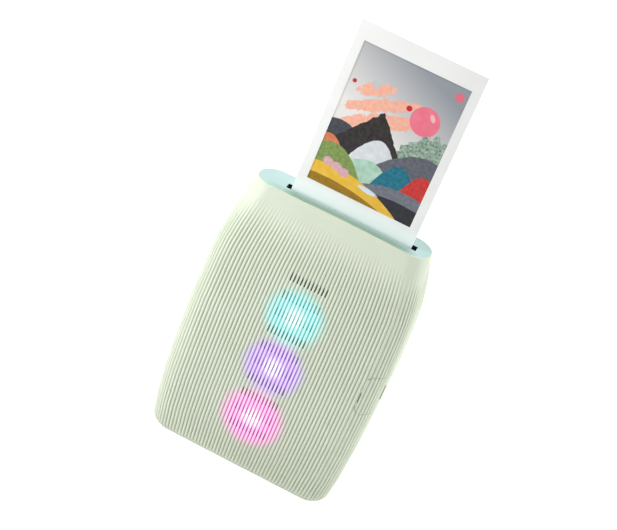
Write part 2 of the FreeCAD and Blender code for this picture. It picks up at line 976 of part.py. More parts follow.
def case_shells():
    """Front shell, rear shell, film door and power button, all cut from one ribbed form."""
    outside = ribbed_form().common(under_crown())
    inside = plain_form(s.floor_thickness, s.shell_wall)
    skin = outside.cut(inside).cut(plate_prism(s.close_fit))
    root_form = plain_form(ZERO, s.rib_depth)
    front_half = block((-far, -far, BELOW), (far, ZERO, ABOVE))
    rear_half = block((-far, ZERO, BELOW), (far, far, ABOVE))
    front = skin.common(front_half)
    rear = skin.common(rear_half)

    button = front.common(button_block())
    front = front.cut([button_opening(), port_hole()] + light_slots())
    bosses = [boss.common(root_form) for boss in chassis_bosses()]
    front = front.fuse(bosses).cut(boss_bores())
    shaped("front_shell", front)

    door = rear.common(door_block(ZERO))
    relief_width = 2 * (s.door_half_width + s.seam_gap)
    relief_start = (s.film_across - relief_width / 2, s.hinge_behind, s.hinge_height)
    relief = pin(relief_start, s.hinge_relief, relief_width, ALONG_X)
    rear = rear.cut([door_block(s.seam_gap), relief])
    hinge_bosses = []
    for left, right in hinge_spans(s.hinge_boss_half):
        start = (left, s.hinge_behind, s.hinge_height)
        barrel = pin(start, s.hinge_radius, right - left, ALONG_X)
        half = s.hinge_radius * WEB_SHARE
        web = block((left, s.hinge_behind - half, s.floor_thickness / 2),
                    (right, s.hinge_behind + half, s.hinge_height))
        hinge_bosses.append(barrel.fuse(web).common(root_form))
    rear = rear.fuse(hinge_bosses + snap_tongues())
    bores = []
    for left, right in hinge_spans(s.hinge_boss_half):
        start = (left - s.rest_gap, s.hinge_behind, s.hinge_height)
        bores.append(pin(start, s.hinge_pin_radius + s.close_fit, right - left + 2 * s.rest_gap, ALONG_X))
    shaped("rear_shell", rear.cut(bores))
    film_door(door, root_form)
    power_button(button)


def film_door(skin, root_form):
    """The rear door: its ribbed skin, hinge ears and the latch's slot."""
    notches = []
    for left, right in hinge_spans(ear_start):
        notches.append(block((left, s.hinge_pin_radius, BELOW),
                             (right, far, s.hinge_height + s.hinge_relief)))
    door = skin.cut(notches)
    ears = []
    bores = []
    for left, right in hinge_spans(ear_end, ear_start):
        start = (left, s.hinge_behind, s.hinge_height)
        ears.append(pin(start, s.hinge_radius, right - left, ALONG_X))
        half = s.hinge_radius * WEB_SHARE
        top = s.hinge_height + 2 * s.hinge_relief
        web = block((left, s.hinge_behind - half, s.hinge_height), (right, s.hinge_behind + half, top))
        ears.append(web.common(root_form))
        bores.append(pin(start, s.hinge_pin_radius + s.running_fit, right - left, ALONG_X))
    door = door.fuse(ears).cut(bores + [latch_slot()])
    shaped("film_door", door)


def latch_slot():
    half = s.latch_width / 2 + s.slide_gap
    low = s.latch_place - s.latch_height / 2 - s.slide_gap
    high = s.latch_place + s.latch_height / 2 + s.latch_travel + s.slide_gap
    return block((s.film_across - half, s.latch_plate_front, low), (s.film_across + half, far, high))


def status_window_block(gap):
    """A small rounded block through the button's wall where it turns round the corner."""
    half_wide = s.window_width / 2 - gap
    half_tall = s.window_height / 2 - gap
    middle = (s.button_low + s.button_high) / 2 + s.window_rise
    low = (half_width / 2, s.window_place - half_wide, middle - half_tall)
    high = (far, s.window_place + half_wide, middle + half_tall)
    return soft_block(low, high, s.window_width / 4, ALONG_X)


def power_button(cap):
    """The ribbed button cap with the flange behind the side wall and its stem."""
    middle = (s.button_low + s.button_high) / 2
    side = section(number(middle))[0]
    flange_outer = side - s.shell_wall - s.rest_gap * 2
    flange_inner = flange_outer - s.button_flange
    back = s.button_back + s.button_lip - s.seam_gap
    front = -(half_depth - s.corner_radius)
    flange = block((flange_inner, front, s.button_low - s.button_lip),
                   (flange_outer, back, s.button_high + s.button_lip))
    inset = s.button_corner / 2
    core = block((flange_inner, front, s.button_low + inset),
                 (side - s.shell_wall / 2, s.button_back - inset, s.button_high - inset))
    half_wide = s.stem_width / 2
    half_tall = s.stem_height / 2
    stem_end = flange_inner - s.stem_reach
    stem_root = flange_inner + s.rest_gap
    stem = soft_block((stem_end, s.stem_place - half_wide, middle - half_tall),
                      (stem_root, s.stem_place + half_wide, middle + half_tall),
                      s.stem_width / 4, ALONG_X)
    button = cap.fuse([flange, core, stem])
    shaped("power_button", button.cut(status_window_block(ZERO)))
    shaped("status_window", cap.common(status_window_block(s.close_fit)))


def top_plate():
    """The crowned plate with the print slot and two small clip notches at its front edge."""
    plate = plate_prism(ZERO).common(under_crown())
    half = s.slot_width / 2
    depth = s.plate_thickness + s.cut_overrun
    slot = film_shape(soft_block((-half, -s.slot_front, -depth), (half, s.slot_back, depth),
                                 s.clip_notch_depth, ALONG_Z))
    half_plate = section(number(s.rim_height))[1] - number(s.plate_rim)
    notches = []
    for side in (-1, 1):
        middle = side * s.clip_notch_place
        left = middle - s.clip_notch_width / 2
        right = middle + s.clip_notch_width / 2
        notches.append(block((left, -far, BELOW), (right, -half_plate + s.clip_notch_depth, ABOVE)))
    shaped("top_plate", plate.cut([slot] + notches))


# Film path at the top

def exit_guide():
    """Black frame under the slot, resting on the roller frames, with a narrow throat."""
    body = new_body("exit_guide")
    half = s.guide_width / 2
    blank = new_sketch(body, "guide_outline", "XY_Plane", guide_low)
    rectangle(blank, -half, -s.guide_front, half, s.guide_back)
    pad(body, "guide_pad", blank, s.guide_height)
    throat = new_sketch(body, "throat_outline", "XY_Plane", guide_low)
    reach = s.throat_width / 2
    rectangle(throat, -reach, -s.throat_front, reach, s.throat_back)
    pocket(body, "throat_cut", throat, s.guide_height, True)
    return node(on_film(body), "exit_guide")


def slot_felts():
    """Two felt strips that keep light and dust out of the throat."""
    reach = s.throat_width / 2
    stand_off = sheet_half + s.felt_gap
    low = guide_low + (s.guide_height - s.felt_height) / 2
    high = low + s.felt_height
    front = box("front_felt", (-reach, -s.throat_front, low), (reach, -stand_off, high))
    rear = box("rear_felt", (-reach, stand_off, low), (reach, s.throat_back, high))
    return node(on_film(group("felts", [front, rear])), "slot_felts")


def print_sheet():
    """The instant print, held by its lower edge in the rollers."""
    body = new_body("print_sheet")
    half = s.sheet_width / 2
    blank = new_sketch(body, "sheet_outline", "XZ_Plane", -sheet_half)
    rectangle(blank, -half, s.sheet_out - s.sheet_length, half, s.sheet_out)
    pad(body, "sheet_pad", blank, s.sheet_thickness)
    window = new_sketch(body, "picture_outline", "XZ_Plane", sheet_half)
    picture_outline(window, ZERO)
    pocket(body, "picture_recess", window, s.picture_layer)
    return node(on_film(body), "print_sheet")


def picture_outline(sketch, gap):
    reach = s.picture_width / 2 - gap
    high = s.sheet_out - s.picture_top_border - gap
    low = s.sheet_out - s.picture_top_border - s.picture_length + gap
    rectangle(sketch, -reach, low, reach, high)


def print_picture():
    """The thin picture layer in the print's front face."""
    body = new_body("print_picture")
    layer = new_sketch(body, "layer_outline", "XZ_Plane", sheet_half - s.picture_layer)
    picture_outline(layer, s.close_fit)
    pad(body, "layer_pad", layer, s.picture_layer)
    return node(on_film(body), "print_picture")


# Film pack

def film_case():
    """The film pack's box, with its picture window and the sheet's exit at the top."""
    top = -s.pack_top
    outer = box("pack_block", (-pack_half, -s.pack_front, pack_low), (pack_half, pack_back, top))
    inner_front = -(s.pack_front - s.pack_front_wall)
    reach = pack_half - 2 * s.pack_wall
    hollow = box("pack_hollow", (-reach, inner_front, pack_low + s.pack_wall),
                 (reach, pack_back - s.pack_wall, top - s.pack_wall))
    exit_half = s.sheet_width / 2 + s.chassis_gap
    channel = box("pack_exit", (-exit_half, inner_front, top - 2 * s.pack_wall),
                  (exit_half, sheet_half + s.slide_gap, top + s.cut_overrun))
    window_half = s.pack_window_width / 2
    window_low = pack_low + (s.pack_length - s.pack_window_length) / 2
    window = box("pack_window", (-window_half, -s.cut_overrun, window_low),
                 (window_half, inner_front + s.rest_gap, window_low + s.pack_window_length))
    claw_way = box("pack_claw_way", (-(pack_half + s.cut_overrun), -s.claw_hook, way_low),
                   (-reach + s.rest_gap, s.claw_hook, way_high))
    case = less("pack_case", outer, [hollow, channel, window, claw_way])
    return node(on_film(case), "film_case")


def film_sheets():
    """The stack of unexposed sheets inside the pack."""
    half = s.sheet_width / 2
    front = sheet_half + s.slide_gap + s.rest_gap
    low = pack_low + 2 * s.pack_wall
    points = [(-half, low), (half, low), (half, low + s.sheet_length), (-half, low + s.sheet_length)]
    body = slab("film_sheets", "XZ_Plane", points, -(front + s.stack_depth), s.stack_depth)
    return node(on_film(body), "film_sheets")


def pack_spring():
    """The bowed leaf in the pack's back that pushes the stack forward."""
    back = pack_back - s.pack_wall
    front = sheet_half + s.slide_gap + s.rest_gap + s.stack_depth + s.rest_gap
    leaf = s.leaf_thickness
    middle = -(s.pack_top + s.pack_length / 2)
    reach = s.pack_length / 4
    points = [
        (back, middle - reach), (back, middle - reach + leaf), (front + leaf, middle),
        (back, middle + reach - leaf), (back, middle + reach), (front, middle + leaf * 2),
        (front, middle - leaf * 2),
    ]
    half = s.pack_window_width / 4
    body = slab("pack_spring", "YZ_Plane", points, -half, 2 * half)
    return node(on_film(body), "pack_spring")


# Chassis and what it carries

def chassis():
    """The moulded well round the film pack, with its lugs and standoffs."""
    low = chassis_low
    top = -s.chassis_top
    half = chassis_half
    well = box("well_block", (-half, -chassis_face, low), (half, s.chassis_back, top))
    hollow = box("well_hollow", (-well_half, -chassis_front, pack_low - s.chassis_gap),
                 (well_half, s.chassis_back + s.cut_overrun, -s.pack_top + s.chassis_gap))
    exit_half = s.throat_width / 2
    channel = box("well_exit", (-exit_half, -(s.pack_front - s.rest_gap), -s.pack_top - s.pack_wall),
                  (exit_half, s.pack_front, top + s.cut_overrun))
    claw_way = box("well_claw_way", (-(half + s.cut_overrun), -s.claw_hook, way_low),
                   (-well_half + s.rest_gap, s.claw_hook, way_high))
    added, bores = chassis_lugs()
    posts, post_bores = chassis_posts()
    whole = joined("chassis_whole", [well] + added + posts)
    cut = less("chassis_cut", whole, [hollow, channel, claw_way] + bores + post_bores)
    return node(on_film(cut), "chassis")


def chassis_lugs():
    """Lugs on both sides that are screwed to the front shell's bosses."""
    lugs = []
    bores = []
    face = -(s.pack_front + s.chassis_gap)
    half = s.lug_height / 2
    bore = s.screw_radius + s.running_fit
    for i, (across, above, side) in enumerate(boss_places):
        root = side * (chassis_half - s.rest_gap)
        left, right = (root, across + half) if side > 0 else (across - half, root)
        lugs.append(box("lug_%d" % i, (left, face, above - half),
                        (right, face + s.lug_depth, above + half)))
        bores.append(rod("lug_bore_%d" % i, (across, face - s.rest_gap, above), bore,
                         s.lug_depth + 2 * s.rest_gap, "y"))
    return lugs, bores


def chassis_posts():
    """Short posts for the two boards, and every small screw's bore."""
    posts = []
    bores = []
    bore = s.screw_radius + s.close_fit
    for i, (across, above) in enumerate(board_screws()):
        posts.append(rod("standoff_%d" % i, (across, -board_back, above), s.standoff_radius,
                         s.standoff_height + s.rest_gap, "y"))
        bores.append(rod("standoff_bore_%d" % i, (across, -board_back - s.rest_gap, above), bore,
                         s.standoff_height + s.chassis_wall, "y"))
    for i, (behind, above) in enumerate(side_board_screws()):
        posts.append(rod("side_post_%d" % i, (chassis_half - s.rest_gap, behind, above),
                         s.standoff_radius, s.side_board_spacer + s.rest_gap, "x"))
        bores.append(rod("side_bore_%d" % i, (well_half + s.chassis_wall / 2, behind, above), bore,
                         s.side_board_spacer + s.chassis_wall, "x"))
    foot_start = -(s.chassis_top + s.small_screw_length)
    for i, (across, behind) in enumerate(frame_screws()):
        bores.append(rod("foot_bore_%d" % i, (across, behind, foot_start), bore,
                         s.small_screw_length + s.rest_gap, "z"))
    return posts, bores


def board_screws():
    across = board_half - s.board_hole_inset
    high = -(s.board_top + s.board_hole_inset)
    low = -(s.board_bottom - s.board_hole_inset)
    return ((-across, low), (across, low), (-across, high), (across, high))


def side_board_screws():
    """Both near the board's rear edge, where the chassis wall lies behind it."""
    behind, above = side_board_middle()
    behind = behind + s.side_board_width / 2 - s.standoff_radius
    reach = s.side_board_length / 2 - s.standoff_radius
    return ((behind, above - reach), (behind, above + reach))


def side_board_middle():
    """Where the side board's middle lies, in line with the button's stem."""
    behind = s.stem_place - s.film_behind
    above = (s.button_low + s.button_high) / 2 - slot_height
    lean_sine = sine(s.film_lean)
    lean_cosine = cosine(s.film_lean)
    return (behind * lean_cosine - above * lean_sine, behind * lean_sine + above * lean_cosine)


def frame_screws():
    across = frame_outside + s.frame_foot / 2 + s.rest_gap
    return ((-across, s.frame_foot_place), (across, s.frame_foot_place))


def main_board():
    """The control board on the chassis front, with its four fixing holes."""
    body = new_body("main_board")
    blank = new_sketch(body, "board_outline", "XZ_Plane", board_back)
    rectangle(blank, -board_half, -s.board_bottom, board_half, -s.board_top)
    pad(body, "board_pad", blank, s.board_thickness)
    holes = new_sketch(body, "board_holes", "XZ_Plane", board_back)
    for across, above in board_screws():
        circle(holes, across, above, s.screw_radius + s.running_fit)
    pocket(body, "board_hole_cut", holes, s.board_thickness, True)
    return node(on_film(body), "main_board")


def light_baffle():
    """The block with three cups that keep the three lights apart."""
    body = new_body("light_baffle")
    blank = new_sketch(body, "baffle_outline", "XZ_Plane", board_face)
    half = s.baffle_width / 2
    rectangle(blank, light_across - half, -s.baffle_bottom, light_across + half, -s.baffle_top)
    pad(body, "baffle_pad", blank, s.baffle_depth)
    cups = new_sketch(body, "baffle_cups", "XZ_Plane", board_face)
    for above in light_heights:
        circle(cups, light_across, -above, s.light_cup_radius)
    pocket(body, "baffle_cup_cut", cups, s.baffle_depth, True)
    return node(on_film(body), "light_baffle")


def light_diffuser():
    """The milky sheet over the cups."""
    half = s.baffle_width / 2
    left, right = light_across - half, light_across + half
    low, high = -s.baffle_bottom, -s.baffle_top
    points = [(left, low), (right, low), (right, high), (left, high)]
    body = slab("light_diffuser", "XZ_Plane", points, baffle_face, s.diffuser_thickness)
    return node(on_film(body), "light_diffuser")


def on_board(name, across, above, width, length, height):
    """A block that stands on the main board's front face."""
    low = (across - width / 2, -(board_face + height), above - length / 2)
    high = (across + width / 2, -board_face, above + length / 2)
    return box(name, low, high)


def light_leds():
    side = s.led_side
    lamps = []
    for i, above in enumerate(light_heights):
        lamps.append(on_board("led_%d" % i, light_across, -above, side, side, s.led_height))
    return node(on_film(group("leds", lamps)), "light_leds")


def free_strip_middle():
    """Middle of the board's free strip to the right of the lights."""
    return (light_across + s.baffle_width / 2 + board_half) / 2


def board_chips():
    """Processor, memory and radio can down the board's free right strip, and a coil on the left."""
    across = free_strip_middle()
    gap = s.chip_gap
    top = head_plug_place()[1] - s.connector_depth / 2 - gap
    processor = top - s.processor_side / 2
    memory = top - s.processor_side - gap - s.memory_length / 2
    radio = top - s.processor_side - s.memory_length - 2 * gap - s.radio_length / 2
    coil_across = -(board_half - s.coil_side)
    chips = [
        on_board("processor", across, processor, s.processor_side, s.processor_side, s.processor_height),
        on_board("memory", across, memory, s.memory_width, s.memory_length, s.processor_height),
        on_board("radio", across, radio, s.radio_width, s.radio_length, s.radio_height),
        on_board("coil", coil_across, processor, s.coil_side, s.coil_side, s.coil_height),
    ]
    return node(on_film(group("chips", chips)), "board_chips")


def head_plug_place():
    return (free_strip_middle(), -(s.board_top + s.connector_depth))


def side_plug_height():
    return side_board_middle()[1] - s.side_plug_length


def lead_plug_height():
    return -(s.battery_top + s.battery_length / 2)


def board_plugs():
    """Connectors for the head's flex, the side board's flex and the battery lead."""
    depth = s.connector_depth
    edge = board_half - depth / 2
    across, above = head_plug_place()
    plugs = [
        on_board("head_plug", across, above, s.head_plug_width, depth, s.connector_height),
        on_board("side_plug", edge, side_plug_height(), depth, s.side_plug_length, s.connector_height),
        on_board("lead_plug", -edge, lead_plug_height(), depth, s.side_plug_length, s.connector_height),
    ]
    return node(on_film(group("plugs", plugs)), "board_plugs")


def bent_strip(name, plane, points, offset, width):
    """A flat flexible cable drawn by its bent edge."""
    return node(on_film(slab(name, plane, points, offset, width)), name)


def head_flex():
    """From the exposure head's front down into its connector."""
    leaf = s.flex_thickness
    front = s.head_depth + s.head_front_gap
    plug_face = board_face + s.connector_height / 2
    across, above = head_plug_place()
    turn = above + s.connector_depth
    end = above + s.connector_depth / 2
    top = -(s.head_top + s.head_height / 4)
    points = [
        (-front - leaf, top), (-front, top), (-front, turn), (-plug_face, turn), (-plug_face, end),
        (-plug_face - leaf, end), (-plug_face - leaf, turn - leaf), (-front - leaf, turn - leaf),
    ]
    bent_strip("head_flex", "YZ_Plane", points, across - s.flex_width / 2, s.flex_width)


def side_flex():
    """From the main board's right edge to the side board's inner face."""
    leaf = s.flex_thickness
    start = -(board_face + s.connector_height / 2)
    end = start + s.flex_step
    bend = board_half + s.flex_step
    far_bend = bend + s.flex_step
    points = [
        (board_half, start), (bend, start), (far_bend, end), (side_board_back, end),
        (side_board_back, end - leaf), (far_bend, end - leaf), (bend, start - leaf),
        (board_half, start - leaf),
    ]
    bent_strip("side_flex", "XY_Plane", points, side_plug_height() - s.lead_width / 2, s.lead_width)


def battery_lead():
    """From the battery's front face to its connector on the board's left edge."""
    leaf = s.flex_thickness
    plug_face = board_face + s.connector_height / 2
    front = s.battery_front
    turn = -(board_half + s.flex_step)
    start = -(chassis_half + s.foam_thickness + s.battery_thickness / 2)
    points = [
        (start, -front), (start, -front - leaf), (turn - leaf, -front - leaf),
        (turn - leaf, -plug_face - leaf), (-board_half, -plug_face - leaf), (-board_half, -plug_face),
        (turn, -plug_face), (turn, -front),
    ]
    bent_strip("battery_lead", "XY_Plane", points, lead_plug_height() - s.lead_width / 2, s.lead_width)


def battery():
    """Flat pouch cell in the left bay, on edge beside the chassis."""
    body = new_body("battery")
    left = -(chassis_half + s.foam_thickness + s.battery_thickness)
    back = s.battery_width - s.battery_front
    blank = new_sketch(body, "cell_outline", "XY_Plane", -(s.battery_top + s.battery_length))
    rectangle(blank, left, -s.battery_front, left + s.battery_thickness, back)
    cell = pad(body, "cell_pad", blank, s.battery_length)
    doc.recompute()
    upright = []
    for index, edge in enumerate(cell.Shape.Edges, 1):
        if abs(edge.tangentAt(edge.FirstParameter) * ALONG_Z) > 1 - TINY:
            upright.append("Edge%d" % index)
    fillet = body.newObject("PartDesign::Fillet", "cell_corners")
    fillet.Base = (cell, upright)
    bind(fillet, "Radius", s.battery_corner)
    return node(on_film(body), "battery")


def battery_foam():
    """The foam pad between the cell and the chassis wall."""
    front = s.foam_margin
    back = s.chassis_back - s.foam_margin
    low = -(s.battery_top + s.battery_length) + s.foam_margin
    high = -s.battery_top - s.foam_margin
    points = [(front, low), (back, low), (back, high), (front, high)]
    body = slab("battery_foam", "YZ_Plane", points, -(chassis_half + s.foam_thickness), s.foam_thickness)
    return node(on_film(body), "battery_foam")


def side_board():
    """The small board behind the power button."""
    body = new_body("side_board")
    behind, above = side_board_middle()
    blank = new_sketch(body, "side_outline", "YZ_Plane", side_board_back)
    half_wide = s.side_board_width / 2
    half_tall = s.side_board_length / 2
    rectangle(blank, behind - half_wide, above - half_tall, behind + half_wide, above + half_tall)
    pad(body, "side_pad", blank, s.board_thickness)
    holes = new_sketch(body, "side_holes", "YZ_Plane", side_board_back)
    for place in side_board_screws():
        circle(holes, place[0], place[1], s.screw_radius + s.running_fit)
    pocket(body, "side_hole_cut", holes, s.board_thickness, True)
    return node(on_film(body), "side_board")


def power_switch():
    """The push switch on the side board, in line with the button's stem."""
    behind, above = side_board_middle()
    wide = s.switch_width / 2
    tall = s.switch_height / 2
    case = box("switch_case", (side_board_face, behind - wide, above - tall),
               (side_board_face + s.switch_depth, behind + wide, above + tall))
    plunger = rod("switch_plunger", (side_board_face + s.switch_depth - s.rest_gap, behind, above),
                  s.plunger_radius, s.plunger_height + s.rest_gap, "x")
    return node(on_film(joined("switch", [case, plunger])), "power_switch")


def button_spring():
    """The bowed leaf that pushes the button back out."""
    behind, above = side_board_middle()
    leaf = s.leaf_thickness
    foot = side_board_face
    middle = (s.button_low + s.button_high) / 2
    side = s.keep("button_side", sized(section(number(middle))[0]))
    flange_face = side - s.film_across - s.shell_wall - s.button_flange
    crest = flange_face - s.button_travel - 2 * s.rest_gap
    reach = s.side_board_length / 2 - 2 * s.standoff_radius
    start = above + s.switch_height / 2 + leaf
    end = above + reach + s.standoff_radius
    points = [(foot, start), (foot + leaf, start), (crest, end - leaf), (crest, end), (crest - leaf, end),
              (foot, start + 2 * leaf)]
    body = new_body("button_spring")
    profile = new_sketch(body, "spring_edge", "XZ_Plane", -(behind + s.button_spring_width / 2))
    outline(profile, points)
    pad(body, "spring_pad", profile, s.button_spring_width)
    return node(on_film(body), "button_spring")


# Charging port

def port_board():
    """The small board that carries the charging port."""
    body = new_body("port_board")
    blank = new_sketch(body, "port_board_outline", "XZ_Plane", -(port_board_front + s.board_thickness))
    left = port_board_left
    half = s.port_board_height / 2
    rectangle(blank, left, s.port_place - half, left + s.port_board_width, s.port_place + half)
    pad(body, "port_board_pad", blank, s.board_thickness)
    holes = new_sketch(body, "port_board_holes", "XZ_Plane", -port_board_front)
    for x, z in port_screws():
        circle(holes, x, z, s.screw_radius + s.running_fit)
    pocket(body, "port_board_hole_cut", holes, s.board_thickness)
    return node(body, "port_board")


def charging_port():
    """The port's metal shell."""
    half_tall = s.port_height / 2
    half_wide = s.port_width / 2
    back = port_mouth + s.port_length
    block_low = (port_mouth, s.port_behind - half_wide, s.port_place - half_tall)
    block_high = (back, s.port_behind + half_wide, s.port_place + half_tall)
    outer = box("port_outer", block_low, block_high)
    wall = s.port_wall
    inner = box("port_inner", (port_mouth - s.cut_overrun, s.port_behind - half_wide + wall,
                               s.port_place - half_tall + wall),
                (back - wall * 2, s.port_behind + half_wide - wall, s.port_place + half_tall - wall))
    soft_outer = rounded("port_outer_soft", outer, s.port_corner, ALONG_X)
    soft_inner = rounded("port_inner_soft", inner, s.port_corner - wall, ALONG_X)
    return node(less("port_shell", soft_outer, [soft_inner]), "charging_port")


def port_tongue():
    """The contact tongue in the middle of the port."""
    half = s.port_tongue_width / 2
    thick = s.port_tongue / 2
    back = port_mouth + s.port_length - s.port_wall * 2
    low = (port_mouth + s.port_width / 2, s.port_behind - thick, s.port_place - half)
    return node(box("tongue", low, (back, s.port_behind + thick, s.port_place + half)), "port_tongue")


# Roller unit

def frame_outline():
    """The side plates' outline, from the guide's front edge round by the back."""
    top = guide_low
    low = -s.chassis_top
    return [
        (-s.frame_tip_front, top), (s.frame_tip_back, top), (s.frame_high_back, -s.frame_back_step),
        (s.frame_low_back, low), (-s.frame_low_front, low), (-s.frame_low_front, -s.frame_low_step),
        (-s.frame_high_front, -s.frame_high_step),
    ]


def side_frame(label, side):
    """One side plate of the roller unit, with its foot and its shaft holes."""
    body = new_body(label)
    inner = s.frame_inside
    offset = inner if side > 0 else -frame_outside
    plate = new_sketch(body, label + "_outline", "YZ_Plane", offset)
    outline(plate, frame_outline())
    pad(body, label + "_plate", plate, s.frame_thickness)
    foot = new_sketch(body, label + "_foot_outline", "XY_Plane", -s.chassis_top)
    low = s.frame_foot_place - s.frame_foot_width / 2
    high = s.frame_foot_place + s.frame_foot_width / 2
    reach = frame_outside + s.frame_foot
    if side > 0:
        rectangle(foot, inner, low, reach, high)
    else:
        rectangle(foot, -reach, low, -inner, high)
    pad(body, label + "_foot", foot, s.frame_thickness)
    holes = new_sketch(body, label + "_holes", "YZ_Plane", offset)
    bush = s.bush_radius + s.close_fit
    circle(holes, -roller_behind, -s.nip_depth, bush)
    circle(holes, roller_behind, -s.nip_depth, bush)
    if side < 0:
        circle(holes, s.motor_behind, -s.motor_above, s.motor_collar_radius + s.close_fit)
        for behind, above in (first_axle, second_axle):
            circle(holes, behind, above, s.axle_radius + s.close_fit)
        for behind, above in motor_screws():
            circle(holes, behind, above, s.screw_radius + s.running_fit)
        for behind, above in cover_posts():
            circle(holes, behind, above, s.screw_radius + s.close_fit)
    pocket(body, label + "_hole_cut", holes, s.frame_thickness, True)
    foot_hole = new_sketch(body, label + "_foot_hole", "XY_Plane", -s.chassis_top)
    for across, behind in frame_screws():
        if float(across) * side > 0:
            circle(foot_hole, across, behind, s.screw_radius + s.running_fit)
    pocket(body, label + "_foot_cut", foot_hole, s.frame_thickness, True)
    return node(on_film(body), label)


def meeting_place(a, reach_a, b, reach_b, side):
    """Where two circles about two places cross, on one side of the line between them."""
    run = (b[0] - a[0], b[1] - a[1])
    span = s.keep("motor_to_second_axle", power_half(run[0] * run[0] + run[1] * run[1]))
    along = s.keep("motor_to_chord", (reach_a * reach_a - reach_b * reach_b + span * span) / (2 * span))
    rise = s.keep("half_chord", power_half(reach_a * reach_a - along * along) * side)
    unit = (run[0] / span, run[1] / span)
    return (a[0] + unit[0] * along - unit[1] * rise, a[1] + unit[1] * along + unit[0] * rise)


def power_half(value):
    return Size(math.sqrt(max(0.0, float(value))), "sqrt(%s)" % value.formula)


def pitch_radius(teeth):
    return s.tooth_module * teeth / 2


def find_second_axle():
    """The second gear's axle: straight down the slope from the rear roller to the motor."""
    rear = (roller_behind, -s.nip_depth)
    motor = (s.motor_behind, -s.motor_above)
    run = (motor[0] - rear[0], motor[1] - rear[1])
    span = s.keep("rear_roller_to_motor", power_half(run[0] * run[0] + run[1] * run[1]))
    reach = pitch_radius(s.roller_teeth) + pitch_radius(s.pinion_teeth)
    behind = s.keep("second_axle_behind", rear[0] + run[0] * reach / span)
    above = s.keep("second_axle_above", rear[1] + run[1] * reach / span)
    return (behind, above)


def find_first_axle():
    """The first gear's axle, in mesh with the motor's pinion and the second gear."""
    motor = (s.motor_behind, -s.motor_above)
    motor_reach = pitch_radius(s.first_teeth) + pitch_radius(s.pinion_teeth)
    second_reach = pitch_radius(s.second_teeth) + pitch_radius(s.pinion_teeth)
    behind, above = meeting_place(motor, motor_reach, second_axle, second_reach, 1)
    return (s.keep("first_axle_behind", behind), s.keep("first_axle_above", above))


second_axle = find_second_axle()
first_axle = find_first_axle()


def motor_screws():
    reach = s.motor_radius - s.screw_radius - s.bush_flange
    return ((s.motor_behind, -(s.motor_above + reach)), (s.motor_behind + reach, -s.motor_above))


def cover_posts():
    """Posts of the gear cover: one in front of the gears, one under the motor."""
    return ((s.front_post_behind, -s.front_post_above), (s.rear_post_behind, -s.rear_post_above))


def roller(label, behind):
    """A steel feed roller with its shaft, turned from one bar."""
    body = new_body(label)
    profile = new_sketch(body, label + "_profile", "XZ_Plane")
    left = first_layer - s.gear_width
    right = frame_outside + s.bush_flange
    barrel = s.roller_half
    shaft = s.shaft_radius
    outline(profile, [
        (left, ZERO), (right, ZERO), (right, shaft), (barrel, shaft), (barrel, s.roller_radius),
        (-barrel, s.roller_radius), (-barrel, shaft), (left, shaft),
    ])
    revolve(body, label + "_turned", profile, "H_Axis")
    seat(body, film_point(ZERO, behind, -s.nip_depth), -s.film_lean)
    return node(body, label)


def roller_bushes():
    """Four flanged bushes for the two roller shafts."""
    bushes = []
    for side in (-1, 1):
        for behind in (-roller_behind, roller_behind):
            name = "bush_%d" % len(bushes)
            inner = s.frame_inside - s.bush_flange
            ring_start = inner if side > 0 else -frame_outside
            flange_start = inner if side > 0 else -s.frame_inside
            start = (ring_start, behind, -s.nip_depth)
            ring = rod(name + "_ring", start, s.bush_radius, s.frame_thickness + s.bush_flange, "x")
            flange = rod(name + "_flange", (flange_start, behind, -s.nip_depth), s.bush_flange_radius,
                         s.bush_flange, "x")
            bore_start = ring_start - s.bush_flange
            bore = rod(name + "_bore", (bore_start, behind, -s.nip_depth), s.shaft_radius + s.running_fit,
                       s.frame_thickness + 3 * s.bush_flange, "x")
            bushes.append(less(name, joined(name + "_blank", [ring, flange]), [bore]))
    return node(on_film(group("bushes", bushes)), "roller_bushes")


def toothed_body(label, rings, bore_radius, hubs, phase, axle, start, end):
    """A gear along X: toothed rings, plain hubs and a bore, turned to mesh."""
    body = new_body(label)
    for i, (teeth, layer) in enumerate(rings):
        name = "%s_ring_%d" % (label, i)
        pitch = pitch_radius(teeth)
        root = pitch - s.tooth_module * ROOT_SHARE
        tip = pitch + s.tooth_module * TIP_SHARE
        slope = math.tan(math.radians(FLANK_DEGREES))
        half = s.tooth_module * (math.pi * TOOTH_SHARE / 2)
        seat_half = half + (pitch - root) * slope
        inner = root - s.close_fit * 4
        tip_half = half - (tip - pitch) * slope
        disc = new_sketch(body, name + "_disc", "YZ_Plane", layer - s.gear_width)
        circle(disc, ZERO, ZERO, root)
        pad(body, name + "_disc_pad", disc, s.gear_width)
        tooth = new_sketch(body, name + "_tooth", "YZ_Plane", layer - s.gear_width)
        outline(tooth, [(inner, -seat_half), (root, -seat_half), (tip, -tip_half), (tip, tip_half),
                        (root, seat_half), (inner, seat_half)])
        tooth_pad = pad(body, name + "_tooth_pad", tooth, s.gear_width)
        turned = body.newObject("PartDesign::PolarPattern", name + "_teeth")
        turned.Originals = [tooth_pad]
        turned.Axis = (origin_piece(body, "X_Axis"), [""])
        turned.Angle = FULL_TURN
        bind(turned, "Occurrences", teeth)
        body.Tip = turned
    for i, (hub_start, hub_end) in enumerate(hubs):
        hub = new_sketch(body, "%s_hub_%d" % (label, i), "YZ_Plane", hub_end)
        circle(hub, ZERO, ZERO, s.hub_radius)
        pad(body, "%s_hub_pad_%d" % (label, i), hub, hub_start - hub_end)
    bore = new_sketch(body, label + "_bore", "YZ_Plane", end)
    circle(bore, ZERO, ZERO, bore_radius)
    pocket(body, label + "_bore_cut", bore, start - end, True)
    seat(body, film_point(ZERO, axle[0], axle[1]), phase - s.film_lean)
    return node(body, label)


